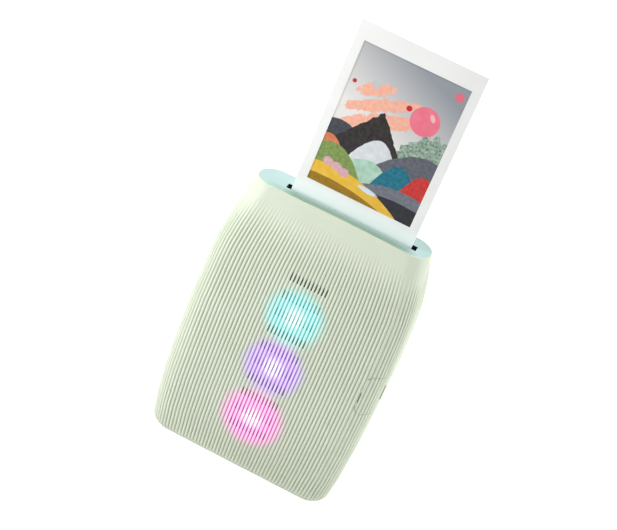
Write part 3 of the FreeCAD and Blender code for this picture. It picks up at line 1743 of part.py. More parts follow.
def bearing(a, b):
    """Direction from one axle to another, in degrees."""
    run = (b[0] - a[0], b[1] - a[1])
    angle = math.degrees(math.atan2(float(run[1]), float(run[0])))
    return Size(angle, "(atan2(%s; %s) / (1 deg))" % (run[1].formula, run[0].formula))


def meshed(name, phase, teeth, other_teeth, direction):
    """The turn of a second gear that puts a gap where the first gear has a tooth."""
    gap = HALF_TURN + sized(HALF_TURN) / other_teeth
    turn = direction + gap + (direction - phase) * teeth / other_teeth
    step = sized(FULL_TURN) / other_teeth
    whole = math.floor(float(turn) / float(step) + 1 / 2)
    return s.keep(name, turn - whole * step)


def gear_train():
    """Roller gears, two stepped gears and the motor's pinion, all in mesh at rest."""
    rear = (roller_behind, -s.nip_depth)
    front = (-roller_behind, -s.nip_depth)
    motor = (s.motor_behind, -s.motor_above)
    second = second_axle
    first = first_axle
    roller_teeth, pinion_teeth = s.roller_teeth, s.pinion_teeth
    rear_phase = ZERO
    front_phase = meshed("front_gear_turn", rear_phase, roller_teeth, roller_teeth, bearing(rear, front))
    second_phase = meshed("second_gear_turn", rear_phase, roller_teeth, pinion_teeth,
                          bearing(rear, second))
    first_phase = meshed("first_gear_turn", second_phase, s.second_teeth, pinion_teeth,
                         bearing(second, first))
    pinion_phase = meshed("pinion_turn", first_phase, s.first_teeth, pinion_teeth, bearing(first, motor))
    shaft = s.shaft_radius + s.close_fit
    axle = s.axle_radius + s.running_fit
    first_end = third_layer - s.gear_width
    second_end = second_layer - s.gear_width
    second_outside = cover_face + s.gear_gap / 2
    toothed_body("rear_roller_gear", [(roller_teeth, first_layer)], shaft, [], rear_phase, rear,
                 first_layer, first_layer - s.gear_width)
    toothed_body("front_roller_gear", [(roller_teeth, first_layer)], shaft, [], front_phase, front,
                 first_layer, first_layer - s.gear_width)
    toothed_body("second_gear", [(pinion_teeth, first_layer), (s.second_teeth, second_layer)], axle,
                 [(first_layer, second_layer), (second_end, second_outside)], second_phase, second,
                 first_layer, second_outside)
    toothed_body("first_gear", [(pinion_teeth, second_layer), (s.first_teeth, third_layer)], axle,
                 [(first_layer, third_layer)], first_phase, first, first_layer, first_end)
    toothed_body("motor_pinion", [(pinion_teeth, third_layer)], s.motor_shaft_radius + s.close_fit, [],
                 pinion_phase, motor, third_layer, first_end)


def gear_axles():
    """Two fixed steel pins between the left frame and the gear cover."""
    left = cover_face - s.cover_thickness
    length = -s.frame_inside - left
    pins = []
    for i, (behind, above) in enumerate((first_axle, second_axle)):
        pins.append(rod("axle_%d" % i, (left, behind, above), s.axle_radius, length, "x"))
    return node(on_film(group("axles", pins)), "gear_axles")


def gear_cover():
    """The plate that holds the axles' outer ends, on two posts from the left frame."""
    body = new_body("gear_cover")
    left = cover_face - s.cover_thickness
    front, rear = cover_posts()
    margin = s.screw_head_radius + 2 * s.rest_gap
    top = second_axle[1] + margin
    plate = new_sketch(body, "cover_outline", "YZ_Plane", left)
    outline(plate, [
        (front[0] - margin, rear[1] - margin), (rear[0] + margin, rear[1] - margin),
        (rear[0] + margin, second_axle[1] - margin), (second_axle[0] + margin, top),
        (second_axle[0] - margin, top), (front[0] + margin, front[1] + margin),
        (front[0] - margin, front[1] + margin),
    ])
    pad(body, "cover_plate", plate, s.cover_thickness)
    columns = new_sketch(body, "cover_columns", "YZ_Plane", left)
    for behind, above in (front, rear):
        circle(columns, behind, above, s.post_radius)
    pad(body, "cover_posts", columns, -frame_outside - left)
    holes = new_sketch(body, "cover_holes", "YZ_Plane", left)
    for behind, above in (first_axle, second_axle):
        circle(holes, behind, above, s.axle_radius + s.close_fit)
    circle(holes, s.motor_behind, -s.motor_above, s.motor_shaft_radius + s.slide_gap)
    pocket(body, "cover_hole_cut", holes, s.cover_thickness, True)
    bores = new_sketch(body, "post_bores", "YZ_Plane", left)
    for behind, above in (front, rear):
        circle(bores, behind, above, s.screw_radius + s.running_fit)
    pocket(body, "post_bore_cut", bores, -frame_outside - left, True)
    return node(on_film(body), "gear_cover")


def drive_motor():
    """The motor's can with its collar and the bore for the rotor's shaft."""
    body = new_body("drive_motor")
    profile = new_sketch(body, "can_profile", "XZ_Plane")
    left = -s.frame_inside
    right = left + s.motor_length
    bore = s.motor_shaft_radius + s.running_fit
    outline(profile, [
        (-frame_outside, bore), (right, bore), (right, s.motor_radius), (left, s.motor_radius),
        (left, s.motor_collar_radius), (-frame_outside, s.motor_collar_radius),
    ])
    revolve(body, "can_turned", profile, "H_Axis")
    screw_holes = new_sketch(body, "can_screw_holes", "YZ_Plane", left)
    for behind, above in motor_screws():
        circle(screw_holes, behind - s.motor_behind, above + s.motor_above, s.screw_radius + s.close_fit)
    pocket(body, "can_screw_cut", screw_holes, s.small_screw_length, True)
    seat(body, film_point(ZERO, s.motor_behind, -s.motor_above), -s.film_lean)
    return node(body, "drive_motor")


def motor_shaft():
    """The rotor's shaft, from the can's far end to the pinion."""
    body = new_body("motor_shaft")
    left = third_layer - s.gear_width
    blank = new_sketch(body, "rotor_outline", "YZ_Plane", left)
    circle(blank, ZERO, ZERO, s.motor_shaft_radius)
    pad(body, "rotor_pad", blank, s.motor_length - s.frame_inside - left)
    seat(body, film_point(ZERO, s.motor_behind, -s.motor_above), -s.film_lean)
    return node(body, "motor_shaft")


def roller_springs():
    """Two leaf springs on the frames' inner faces that press on the front bushes' flanges."""
    leaves = []
    leaf = s.roller_spring_thickness
    front = -(roller_behind + s.bush_flange_radius + s.rest_gap)
    inner = s.frame_inside - s.bush_flange
    low = -(s.nip_depth + s.roller_spring_length)
    for side in (-1, 1):
        start = inner if side > 0 else -s.frame_inside
        leaves.append(box("leaf_%d" % side, (start, front - leaf, low),
                          (start + s.bush_flange, front, -s.nip_depth + s.bush_flange)))
    return node(on_film(group("leaves", leaves)), "roller_springs")


# Exposure head

def exposure_head():
    """The line exposure head in front of the film, held between the two frames."""
    front = -(s.head_front_gap + s.head_depth)
    low = -(s.head_top + s.head_height)
    back = -s.head_front_gap
    chamfer = s.head_height / 4
    points = [(front, low), (back, low), (back, -s.head_top), (front + chamfer, -s.head_top),
              (front, -s.head_top - chamfer)]
    body = slab("exposure_head", "YZ_Plane", points, -s.frame_inside, 2 * s.frame_inside)
    return node(on_film(body), "exposure_head")


def exposure_lens():
    """The glass rod lens along the head, just in front of the film."""
    middle = -(s.head_top + s.head_height / 2)
    half = s.lens_height / 2
    soft = half / 2
    back = -s.lens_stand_off
    front = -s.head_front_gap
    low, high = middle - half, middle + half
    points = [(front, low), (back - soft, low), (back, low + soft), (back, high - soft),
              (back - soft, high), (front, high)]
    reach = s.sheet_width / 2
    body = slab("exposure_lens", "YZ_Plane", points, -reach, 2 * reach)
    return node(on_film(body), "exposure_lens")


def film_claw():
    """The sliding claw that pushes a sheet out of the pack by its lower edge."""
    body = new_body("film_claw")
    outer = -(chassis_half + s.claw_thickness + s.rest_gap)
    strip = new_sketch(body, "claw_strip", "YZ_Plane", outer)
    rectangle(strip, -s.claw_width / 2, -s.claw_bottom, s.claw_width / 2, s.claw_length - s.claw_bottom)
    pad(body, "claw_strip_pad", strip, s.claw_thickness)
    hook = new_sketch(body, "claw_hook", "YZ_Plane", outer)
    half = s.claw_hook_half
    rectangle(hook, -half, -s.claw_bottom, half, s.claw_hook - s.claw_bottom)
    pad(body, "claw_hook_pad", hook, -outer - s.sheet_width / 2 - s.slide_gap)
    return node(on_film(body), "film_claw")


# What the film door carries

def door_panel():
    """The tray inside the door, with a notch for the latch's tongue."""
    half = s.panel_half_width
    left = s.film_across - half
    right = s.film_across + half
    form = plain_form(ZERO, s.shell_wall + s.rest_gap / 2)
    wall = s.panel_wall
    tray = block((left, s.panel_front, s.panel_low), (right, far, s.panel_high)).common(form)
    hollow = block((left + wall, s.panel_front + wall, s.panel_low + wall),
                   (right - wall, far, s.panel_high - wall))
    notch_half = s.latch_tongue_width / 2 + s.slide_gap
    notch = block((s.film_across - notch_half, s.panel_front + wall, s.panel_high - 2 * wall),
                  (s.film_across + notch_half, far, s.panel_high + wall))
    shaped("door_panel", tray.cut([hollow, notch]))


def door_seal():
    """The foam frame on the tray that closes on the chassis."""
    half = s.panel_half_width
    back = s.panel_front
    front = back - s.seal_thickness
    middle = s.film_across
    outer = box("seal_outer", (middle - half, front, s.panel_low), (middle + half, back, s.panel_high))
    inner_half = half - s.seal_width
    low, high = s.panel_low + s.seal_width, s.panel_high - s.seal_width
    inner = box("seal_inner", (middle - inner_half, front - s.cut_overrun, low),
                (middle + inner_half, back + s.cut_overrun, high))
    return node(less("seal", outer, [inner]), "door_seal")


def pressure_pads():
    """Two plates that the door presses on the back of the film pack."""
    pads = []
    front = pack_back + s.pad_stand_off
    for side in (-1, 1):
        middle = side * s.pad_place
        low = (middle - s.pad_width / 2, front, -(s.pad_middle + s.pad_length / 2))
        high = (middle + s.pad_width / 2, front + s.pad_thickness, -(s.pad_middle - s.pad_length / 2))
        pads.append(box("pad_%d" % side, low, high))
    return node(on_film(group("pads", pads)), "pressure_pads")


def pressure_springs():
    """Two bowed leaves between the door's tray and the pressure pads."""
    leaf = s.leaf_thickness
    crest = film_point(ZERO, pack_back + s.pad_stand_off + s.pad_thickness, -s.pad_middle)
    crest_y = crest[1] + s.rest_gap
    back = s.panel_front
    reach = s.spring_half_length
    middle = crest[2]
    half = s.pad_width / 4
    leaves = []
    for side in (-1, 1):
        place = s.film_across + side * s.pad_place - half
        name = "door_leaf_%d" % side
        body = new_body(name)
        edge = new_sketch(body, name + "_edge", "YZ_Plane", place)
        outline(edge, [
            (back, middle - reach), (back, middle - reach + 2 * leaf), (crest_y + leaf, middle),
            (back, middle + reach - 2 * leaf), (back, middle + reach), (crest_y, middle + leaf),
            (crest_y, middle - leaf),
        ])
        pad(body, name + "_pad", edge, 2 * half)
        leaves.append(body)
    return node(group("door_leaves", leaves), "pressure_springs")


def door_latch():
    """The sliding latch: a ribbed finger pad outside, a plate and tongue inside."""
    middle = s.film_across
    front = s.latch_plate_front
    back = front + s.latch_plate_thickness
    surface = section(number(s.latch_place))[1]
    half = s.latch_width / 2
    low = s.latch_place - s.latch_height / 2
    high = s.latch_place + s.latch_height / 2
    pad_back = surface + s.latch_proud
    plate_half = s.latch_plate_width / 2
    knob = soft_block((middle - half, front, low), (middle + half, pad_back, high), s.latch_proud / 2,
                      ALONG_X, keep=lambda point: point.y > surface)
    margin = s.latch_travel + s.slide_gap * 2
    plate = block((middle - plate_half, front, low - margin), (middle + plate_half, back, high + margin))
    tongue_half = s.latch_tongue_width / 2
    tongue = block((middle - tongue_half, front, low), (middle + tongue_half, back, s.latch_tongue_top))
    latch = knob.fuse([plate, tongue])
    grooves = []
    for step in range(-1, 2):
        across = middle + step * s.latch_width / 4
        groove = s.latch_proud / 4
        grooves.append(block((across - groove, pad_back - groove, low + groove),
                             (across + groove, far, high - groove)))
    shaped("door_latch", latch.cut(grooves))


def hinge_pins():
    pins = []
    for i, (left, right) in enumerate(hinge_spans(ear_end)):
        pins.append(rod("hinge_pin_%d" % i, (left, s.hinge_behind, s.hinge_height), s.hinge_pin_radius,
                        right - left, "x"))
    return node(group("pins", pins), "hinge_pins")


# Fasteners

def screw(name, place, length, along, sign):
    """A pan head screw whose head's underside is at a place and points one way."""
    height = s.screw_head_height
    behind = {"x": 0, "y": 1, "z": 2}[along]
    head_start = list(place)
    shank_start = list(place)
    socket_start = list(place)
    if sign > 0:
        shank_start[behind] = place[behind] - length
        socket_start[behind] = place[behind] + height - s.screw_socket_depth
    else:
        head_start[behind] = place[behind] - height
        socket_start[behind] = place[behind] - height - s.screw_socket_depth
    shank = rod(name + "_shank", shank_start, s.screw_radius, length, along)
    head = rod(name + "_head", head_start, s.screw_head_radius, height, along)
    socket = rod(name + "_socket", socket_start, s.screw_socket_radius, 2 * s.screw_socket_depth, along)
    return less(name, joined(name + "_blank", [shank, head]), [socket])


def fasteners():
    """Groups of like screws: chassis, boards and roller unit, and the port board's two."""
    lug_back = -(s.pack_front + s.chassis_gap) + s.lug_depth
    shank = s.lug_depth + s.screw_length - s.slide_gap
    chassis_set = []
    for i, (across, above, side) in enumerate(boss_places):
        chassis_set.append(screw("chassis_screw_%d" % i, (across, lug_back, above), shank, "y", 1))
    node(on_film(group("chassis_set", chassis_set)), "chassis_screws")
    board_set = []
    short = s.small_screw_length
    for i, (across, above) in enumerate(board_screws()):
        board_set.append(screw("board_screw_%d" % i, (across, -board_face, above), short, "y", -1))
    for i, (behind, above) in enumerate(side_board_screws()):
        board_set.append(screw("side_screw_%d" % i, (side_board_face, behind, above), short, "x", 1))
    node(on_film(group("board_set", board_set)), "board_screws")
    frame_set = []
    for i, (across, behind) in enumerate(frame_screws()):
        frame_set.append(screw("frame_screw_%d" % i, (across, behind, s.frame_thickness - s.chassis_top),
                               short, "z", 1))
    for i, (behind, above) in enumerate(motor_screws()):
        frame_set.append(screw("motor_screw_%d" % i, (-frame_outside, behind, above), short, "x", -1))
    node(on_film(group("frame_set", frame_set)), "frame_screws")
    cover_set = []
    cover_outside = cover_face - s.cover_thickness
    cover_shank = -s.frame_inside - s.rest_gap - cover_outside
    for i, (behind, above) in enumerate(cover_posts()):
        place = (cover_outside, behind, above)
        cover_set.append(screw("cover_screw_%d" % i, place, cover_shank, "x", -1))
    node(on_film(group("cover_set", cover_set)), "cover_screws")
    port_set = []
    for i, (x, z) in enumerate(port_screws()):
        place = (x, port_board_front + s.board_thickness, z)
        port_set.append(screw("port_screw_%d" % i, place, short, "y", 1))
    node(group("port_set", port_set), "port_screws")


def check_and_export():
    """Stop at any failed object or bad shape, then write one file per sub-part."""
    doc.recompute()
    failed = [thing.Name for thing in doc.Objects if "Invalid" in thing.State or "Error" in thing.State]
    if failed:
        raise RuntimeError("failed objects: " + ", ".join(failed))
    for piece in nodes:
        if piece.Shape.isNull() or not piece.Shape.isValid():
            raise RuntimeError("bad shape: " + piece.Label)
    os.makedirs("parts", exist_ok=True)
    for piece in nodes:
        piece.Shape.exportStep(os.path.join("parts", piece.Label + ".step"))


def build():
    case_shells()
    top_plate()
    exit_guide()
    slot_felts()
    print_sheet()
    print_picture()
    film_case()
    film_sheets()
    pack_spring()
    chassis()
    main_board()
    light_baffle()
    light_diffuser()
    light_leds()
    board_chips()
    board_plugs()
    head_flex()
    side_flex()
    battery_lead()
    battery()
    battery_foam()
    side_board()
    power_switch()
    button_spring()
    port_board()
    charging_port()
    port_tongue()
    side_frame("left_frame", -1)
    side_frame("right_frame", 1)
    roller("front_roller", -roller_behind)
    roller("rear_roller", roller_behind)
    roller_bushes()
    roller_springs()
    gear_train()
    gear_axles()
    gear_cover()
    drive_motor()
    motor_shaft()
    exposure_head()
    exposure_lens()
    film_claw()
    door_panel()
    door_seal()
    pressure_pads()
    pressure_springs()
    door_latch()
    hinge_pins()
    fasteners()
    check_and_export()


build()
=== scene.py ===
import math

import bmesh
import bpy
from mathutils import Matrix, Vector

bl_info = {
    "name": "Compact photo printer",
    "version": (1, 0, 0),
    "blender": (4, 5, 0),
    "location": "3D View > Sidebar > Printer",
    "description": "Dresses the packed photo printer in its moulded, printed and metal finishes",
    "category": "Object",
}

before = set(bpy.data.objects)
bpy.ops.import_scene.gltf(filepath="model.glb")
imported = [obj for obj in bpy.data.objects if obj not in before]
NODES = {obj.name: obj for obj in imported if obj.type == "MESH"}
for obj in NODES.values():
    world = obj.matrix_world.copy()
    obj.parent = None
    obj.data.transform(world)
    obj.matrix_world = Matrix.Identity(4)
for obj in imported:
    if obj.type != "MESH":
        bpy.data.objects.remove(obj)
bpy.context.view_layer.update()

# Places of the three lamps behind the front shell, in mm: height, radius of the glow.
LAMPS = (("cyan", 80.0, 15.5), ("violet", 54.6, 16.0), ("magenta", 27.5, 17.0))
# Half width of the strip of slots over them, and its lower and upper ends, in mm.
STRIP_HALF = 8.9
STRIP_ENDS = (18.5, 99.0)
# How far a lamp lights the sheet behind the wall, in mm.
SHEET_RADIUS = 13.5
# Share of the glow's radius over which a lamp's middle whitens.
CORE_SHARE = 1 / 1.7
# The painted glow on a ridge and in a groove: share of white at the lamp's middle, share of
# white elsewhere, how far the case's own tone gives way to painted shade of the dark inside, and brightness.
RIDGE_LIGHT = (0.95, 0.34, 0.6, 1.0)
GROOVE_LIGHT = (0.3, 0.0, 0.92, 0.8)
# A slot's cut walls, which carry painted shade: the part of their direction that points forwards or back,
# where they start and where they are reached, and their painted glow beside the lit wall's.
SLOT_WALL_TURN = (0.45, 0.25)
SLOT_WALL_LIGHT = 0.45
# The lamps light only what lies ahead of this place, in mm, where the front is negative.
LIT_AHEAD_OF = -8.0
# Pitch of the ribs on the flat front, in mm: a groove lies on the middle line.
RIB_PITCH = 1.6
# Height of the ribs' wave, from -1 on a ridge to 1 in a groove, where a groove's floor starts.
GROOVE_FLOOR = 0.85
# Height of soft noise, from 0 to 1, between which patches change tone, and roughness wanders.
PATCH_ENDS = (0.35, 0.65)
HANDLED_ENDS = (0.3, 0.7)
# Lowest and highest roughness, as shares of a finish's own: of plastic, and of metal's lines.
PLASTIC_SPREAD = (0.85, 1.15)
METAL_SPREAD = (0.7, 1.4)
# Share of open surroundings where a surface is fully in shade, and where it is fully open.
OPEN_SHARES = (0.58, 0.98)
# The film path, in mm: its place across, behind and above, and its lean in degrees.
FILM_ACROSS = 3.3
FILM_BEHIND = -2.1
FILM_TOP = 125.0
FILM_LEAN = 3.0
# The print slot in the top plate, in mm: its two ends, and its front and back.
SLOT_ENDS = (-25.8, 32.4)
SLOT_SIDES = (-3.4, 0.7)
# The print's painted shadow on the plate before the slot, deeper and greener: its depth and half widths in
# mm, and its share.
PRINT_SHADOW_DEPTH = 2.0
PRINT_SHADOW_HALVES = (34.0, 24.0)
PRINT_SHADOW_SHARE = 0.85
# The picture on the print, in mm: half its width and height, and its middle above the slot.
PICTURE_HALF = (23.0, 31.0)
PICTURE_MIDDLE = 38.15
# Width of the soft edges of what is painted there, in mm.
SOFT_EDGE = 0.15
# The sky's slant, and the heights from the picture's middle, in mm, between which it darkens.
SKY_SLANT = 0.45
SKY_ENDS = (-4.0, 32.0)
# Shade of the border on the picture's left and upper edges: its width in mm, and how bright
# the edge is.
LEFT_SHADE = (1.0, 0.7)
UPPER_SHADE = (0.8, 0.75)
# Heights on the print, in mm above the slot, between which painted light bounced from the plate fades out
# upwards.
BOUNCE_ENDS = (1.0, 8.0)
# The floor: half its side in metres, and the share of white that it shows by itself.
FLOOR_HALF = 6.0
FLOOR_WHITE = 0.67
# The studio lamps: place in metres, side in metres, and power as a share of the key light.
STUDIO_LAMPS = (("key", (-0.28, -0.19, 0.27), 0.16, 0.62),
                ("top", (-0.05, 0.45, 0.8), 0.5, 1.8),
                ("side", (0.8, 0.05, 0.3), 0.4, 2.1))
# The point that they aim at, in metres.
AIM = (0.0, 0.0, 0.09)
# The camera: azimuth, elevation and roll in degrees, and its distance in metres from its
# centre of turning. In pixels of the photograph's frame: focal length, place of the
# picture's middle, and the frame.
CAMERA_TURN = (6.70, 26.4, 23.25)
CAMERA_DISTANCE = 0.623
CAMERA_CENTRE = (0.0, 0.0, 0.125)
FOCAL_PIXELS = 1547.0
MIDDLE_PIXELS = (345.8, 211.5)
FRAME_PIXELS = (617, 530)


class PrinterColours(bpy.types.PropertyGroup):
    """Colours that a user would change, as sRGB hex values."""

    case: bpy.props.StringProperty(name="Case", description="Ribbed case", default="e2ead6")
    case_shade: bpy.props.StringProperty(name="Case shade", description="Slightly deeper case tone",
                                         default="dce4cf")
    # Painted shade: the tone that the case darkens to in its grooves and creases.
    groove: bpy.props.StringProperty(name="Groove shade", description="Painted shade of the case down in its grooves",
                                     default="a3ae98")
    top: bpy.props.StringProperty(name="Top plate", description="Plate round the slot",
                                  default="c1dedb")
    cyan: bpy.props.StringProperty(name="Upper lamp", description="Colour of the upper lamp",
                                   default="22cccc")
    violet: bpy.props.StringProperty(name="Middle lamp", description="Colour of the middle lamp",
                                     default="9c3fe0")
    magenta: bpy.props.StringProperty(name="Lower lamp", description="Colour of the lower lamp",
                                      default="ec2cc4")
    border: bpy.props.StringProperty(name="Print border", description="White film round the picture",
                                     default="f8f8f6")


class PrinterSizes(bpy.types.PropertyGroup):
    """Sizes and strengths that a user would change."""

    glow: bpy.props.FloatProperty(name="Glow", description="Brightness of the lamps through the case",
                                  default=0.95, min=0.0, max=3.0, subtype="FACTOR")
    grain: bpy.props.FloatProperty(name="Mould grain", description="Size of the grain on moulded plastic",
                                   default=0.0004, min=0.0001, max=0.002, unit="LENGTH")
    key_energy: bpy.props.FloatProperty(name="Key light", description="Power of the key lamp in watts",
                                        default=1.7, min=0.0, max=50.0)
    fill: bpy.props.FloatProperty(name="Fill", description="Strength of the surrounding light",
                                  default=0.32, min=0.0, max=2.0, subtype="FACTOR")


def linear(hex_colour):
    """An sRGB hex value as the linear colour that the shaders use."""
    channels = []
    for start in (0, 2, 4):
        value = int(hex_colour[start:start + 2], 16) / 255
        channels.append(value / 12.92 if value <= 0.04045 else ((value + 0.055) / 1.055) ** 2.4)
    return (*channels, 1.0)


def per(millimetres):
    """Texture scale that gives features of a real size."""
    return 1000 / millimetres


def feed(socket, value):
    """Give a socket a number, a hex colour, an output, or what a node mainly gives."""
    if isinstance(value, bpy.types.Node):
        value = next(output for output in value.outputs if output.enabled)
    if isinstance(value, bpy.types.NodeSocket):
        socket.id_data.links.new(value, socket)
    elif isinstance(value, str):
        socket.default_value = linear(value)[:len(socket.default_value)]
    else:
        socket.default_value = value


def add(tree, kind, *values, **named):
    """Add one node with its settings and links.

    The values go to its open sockets in their order. A name with a capital is a socket
    too, and any other name is one of the node's settings.
    """
    made = tree.nodes.new("ShaderNode" + kind)
    for name, value in named.items():
        if name[0].islower():
            setattr(made, name, value)
    for socket, value in zip([item for item in made.inputs if item.enabled], values):
        feed(socket, value)
    for name, value in named.items():
        if name[0].isupper():
            feed(made.inputs[name.replace("_", " ")], value)
    return made


def start_finish(name, **values):
    """A new material with its surface shader, ready for its pattern."""
    material = bpy.data.materials.new(name)
    material.use_nodes = True
    tree = material.node_tree
    tree.nodes.clear()
    shader = add(tree, "BsdfPrincipled", **values)
    add(tree, "OutputMaterial", shader)
    return material, tree, shader, add(tree, "TexCoord").outputs["Object"]


def blotch(tree, place, size, first, second):
    """Two tones of one colour in soft patches of a real size in mm."""
    wander = add(tree, "TexNoise", place, Scale=per(size), Detail=3.0)
    return add(tree, "Mix", add(tree, "MapRange", wander, *PATCH_ENDS), first, second, data_type="RGBA")


def grain(tree, shader, height, depth, strength=1.0):
    """Raise the surface by a height pattern, with a real depth in mm."""
    raised = add(tree, "Bump", Strength=strength, Distance=depth / 1000, Height=height)
    feed(shader.inputs["Normal"], raised)


def rough_patches(tree, shader, place, size, low, high):
    """Roughness that wanders between two values, as handling leaves it."""
    wander = add(tree, "TexNoise", place, Scale=per(size), Detail=4.0)
    feed(shader.inputs["Roughness"], add(tree, "MapRange", wander, *HANDLED_ENDS, low, high))


def within(tree, value, ends):
    """One where a place in metres lies between two ends in mm, otherwise zero."""
    low, high = ends
    away = add(tree, "Math", value, (low + high) / 2000, operation="SUBTRACT")
    away = add(tree, "Math", away, operation="ABSOLUTE")
    return add(tree, "Math", away, (high - low) / 2000, operation="LESS_THAN")


def lamp_reach(tree, place, height):
    """Distance on the front face from a lamp's middle."""
    flat = add(tree, "VectorMath", place, (1.0, 0.0, 1.0), operation="MULTIPLY")
    return add(tree, "VectorMath", flat, (0.0, 0.0, height / 1000), operation="DISTANCE")


def shine_together(tree, lights):
    """What several lights give in one place, each a tone and its power there."""
    total = "000000"
    for tone, power in lights:
        light = add(tree, "VectorMath", tone, power, operation="SCALE")
        total = add(tree, "VectorMath", total, light, operation="ADD")
    return total


def lamp_glow(tree, shader, place, plain):
    """Painted light of the three lamps, a glow on the thin front wall as if shining through it.

    The ridges take the painted glow to near white. The grooves keep its colour, and round the lamps
    they carry painted shade of the dark inside. Where the slots are cut, their walls carry painted shade.
    """
    colours = bpy.context.scene.printer_colours
    x, y, z = add(tree, "SeparateXYZ", place).outputs
    wave = add(tree, "Math", x, 2 * math.pi * per(RIB_PITCH), operation="MULTIPLY")
    groove = add(tree, "MapRange", add(tree, "Math", wave, operation="COSINE"), 0.0, GROOVE_FLOOR)
    front = add(tree, "Math", y, LIT_AHEAD_OF / 1000, operation="LESS_THAN")
    strip = add(tree, "Math", within(tree, x, (-STRIP_HALF, STRIP_HALF)), within(tree, z, STRIP_ENDS),
                operation="MULTIPLY")
    facing = add(tree, "SeparateXYZ", add(tree, "TexCoord").outputs["Normal"])
    turned = add(tree, "Math", facing.outputs["Y"], operation="ABSOLUTE")
    cut = add(tree, "Math", strip, add(tree, "MapRange", turned, *SLOT_WALL_TURN), operation="MULTIPLY")
    middle, elsewhere, cover, bright = [add(tree, "MapRange", groove, 0.0, 1.0, *pair)
                                        for pair in zip(RIDGE_LIGHT, GROOVE_LIGHT)]
    dimmed = add(tree, "MapRange", cut, 0.0, 1.0, 1.0, SLOT_WALL_LIGHT)
    bright = add(tree, "Math", bright, dimmed, operation="MULTIPLY")
    # Painted shade: the slot walls darken toward near black.
    base = add(tree, "Mix", cut, plain, "23292a", data_type="RGBA")
    lights = []
    for name, height, radius in LAMPS:
        reach = lamp_reach(tree, place, height)
        fade = add(tree, "MapRange", reach, radius / 1000, radius / 2000, interpolation_type="SMOOTHSTEP")
        fade = add(tree, "Math", fade, front, operation="MULTIPLY")
        core = add(tree, "MapRange", reach, radius * CORE_SHARE / 1000, 0.0,
                   interpolation_type="SMOOTHSTEP")
        white = add(tree, "Math", core, middle, operation="MULTIPLY")
        white = add(tree, "Math", white, elsewhere, operation="MAXIMUM")
        tone = add(tree, "Mix", white, getattr(colours, name), "ffffff", data_type="RGBA")
        # Painted shade: round each lamp the grooves darken toward the dark inside, under the painted glow.
        painted_dark_inside = add(tree, "Math", fade, cover, operation="MULTIPLY")
        base = add(tree, "Mix", painted_dark_inside, base, "20222a", data_type="RGBA")
        lights.append((tone, add(tree, "Math", fade, bright, operation="MULTIPLY")))
    feed(shader.inputs["Base Color"], base)
    # Painted light: the lamps' glow is emission on the wall itself.
    feed(shader.inputs["Emission Color"], shine_together(tree, lights))
    feed(shader.inputs["Emission Strength"], bpy.context.scene.printer_sizes.glow)


def painted_groove_shade(tree, tone, shade_tone, distance):
    """The tone with painted shade, darkened toward a shade tone where the surface closes in on itself within
    a distance in mm.
    """
    around = add(tree, "AmbientOcclusion", Distance=distance / 1000, samples=8, only_local=True)
    share = add(tree, "MapRange", around.outputs["AO"], *OPEN_SHARES)
    return add(tree, "Mix", share, shade_tone, tone, data_type="RGBA")


def case_plastic(name, glow=False):
    """Matt moulded plastic with a spark-eroded grain, pale green-grey.

    It gives soft broad highlights on the ridges and no mirror. The real grain is under
    0.1 mm, too fine to show, so it is drawn at the size that the panel gives.
    """
    colours = bpy.context.scene.printer_colours
    sizes = bpy.context.scene.printer_sizes
    material, tree, shader, place = start_finish(name, IOR=1.5)
    tone = blotch(tree, place, 30, colours.case, colours.case_shade)
    # Painted shade: the tone darkens toward the groove colour where the ribs close in.
    tone = painted_groove_shade(tree, tone, colours.groove, 1.4)
    feed(shader.inputs["Base Color"], tone)
    rough_patches(tree, shader, place, 14, 0.42, 0.55)
    pits = add(tree, "TexNoise", place, Scale=per(sizes.grain * 1000), Detail=3.0)
    grain(tree, shader, pits, 0.012)
    if glow:
        lamp_glow(tree, shader, place, tone)
    return material


def moulded(name, first, second, roughness, size=12.0, grain_size=0.4, depth=0.02):
    """Plain moulded plastic: two close tones, a light grain and handled roughness.

    It shows a soft sheen that is never quite even. The grain is drawn coarser than the
    real one, which is too fine to show.
    """
    material, tree, shader, place = start_finish(name, IOR=1.48)
    feed(shader.inputs["Base Color"], blotch(tree, place, size, first, second))
    low, high = [min(1.0, roughness * share) for share in PLASTIC_SPREAD]
    rough_patches(tree, shader, place, size / 2, low, high)
    pits = add(tree, "TexNoise", place, Scale=per(grain_size), Detail=3.0)
    grain(tree, shader, pits, depth)
    return material


def rolled_metal(name, first, second, roughness, direction, size=0.25, depth=0.004):
    """Rolled or turned metal: fine lines along one direction and faint stains.

    The lines draw the highlights out across the direction of working. They are drawn
    coarser than real ones, which are too fine to show.
    """
    material, tree, shader, place = start_finish(name, Metallic=1.0)
    stretched = add(tree, "Mapping", place, Scale=direction)
    lines = add(tree, "TexNoise", stretched, Scale=per(size), Detail=5.0)
    feed(shader.inputs["Base Color"], blotch(tree, place, 6, first, second))
    dull = add(tree, "MapRange", lines, 0.0, 1.0, *[roughness * share for share in METAL_SPREAD])
    feed(shader.inputs["Roughness"], dull)
    grain(tree, shader, lines, depth, 0.6)
    return material


def fibre(name, first, second, size, depth):
    """Felt or foam: a dense matt pile or cells, with a faint pale edge and no highlight.

    The fibres of felt are drawn coarser than real ones, which are too fine to show.
    """
    material, tree, shader, place = start_finish(name, Roughness=0.95, Sheen_Weight=0.3,
                                                 Sheen_Roughness=0.6)
    feed(shader.inputs["Base Color"], blotch(tree, place, size * 3, first, second))
    grain(tree, shader, add(tree, "TexNoise", place, Scale=per(size), Detail=6.0), depth)
    return material


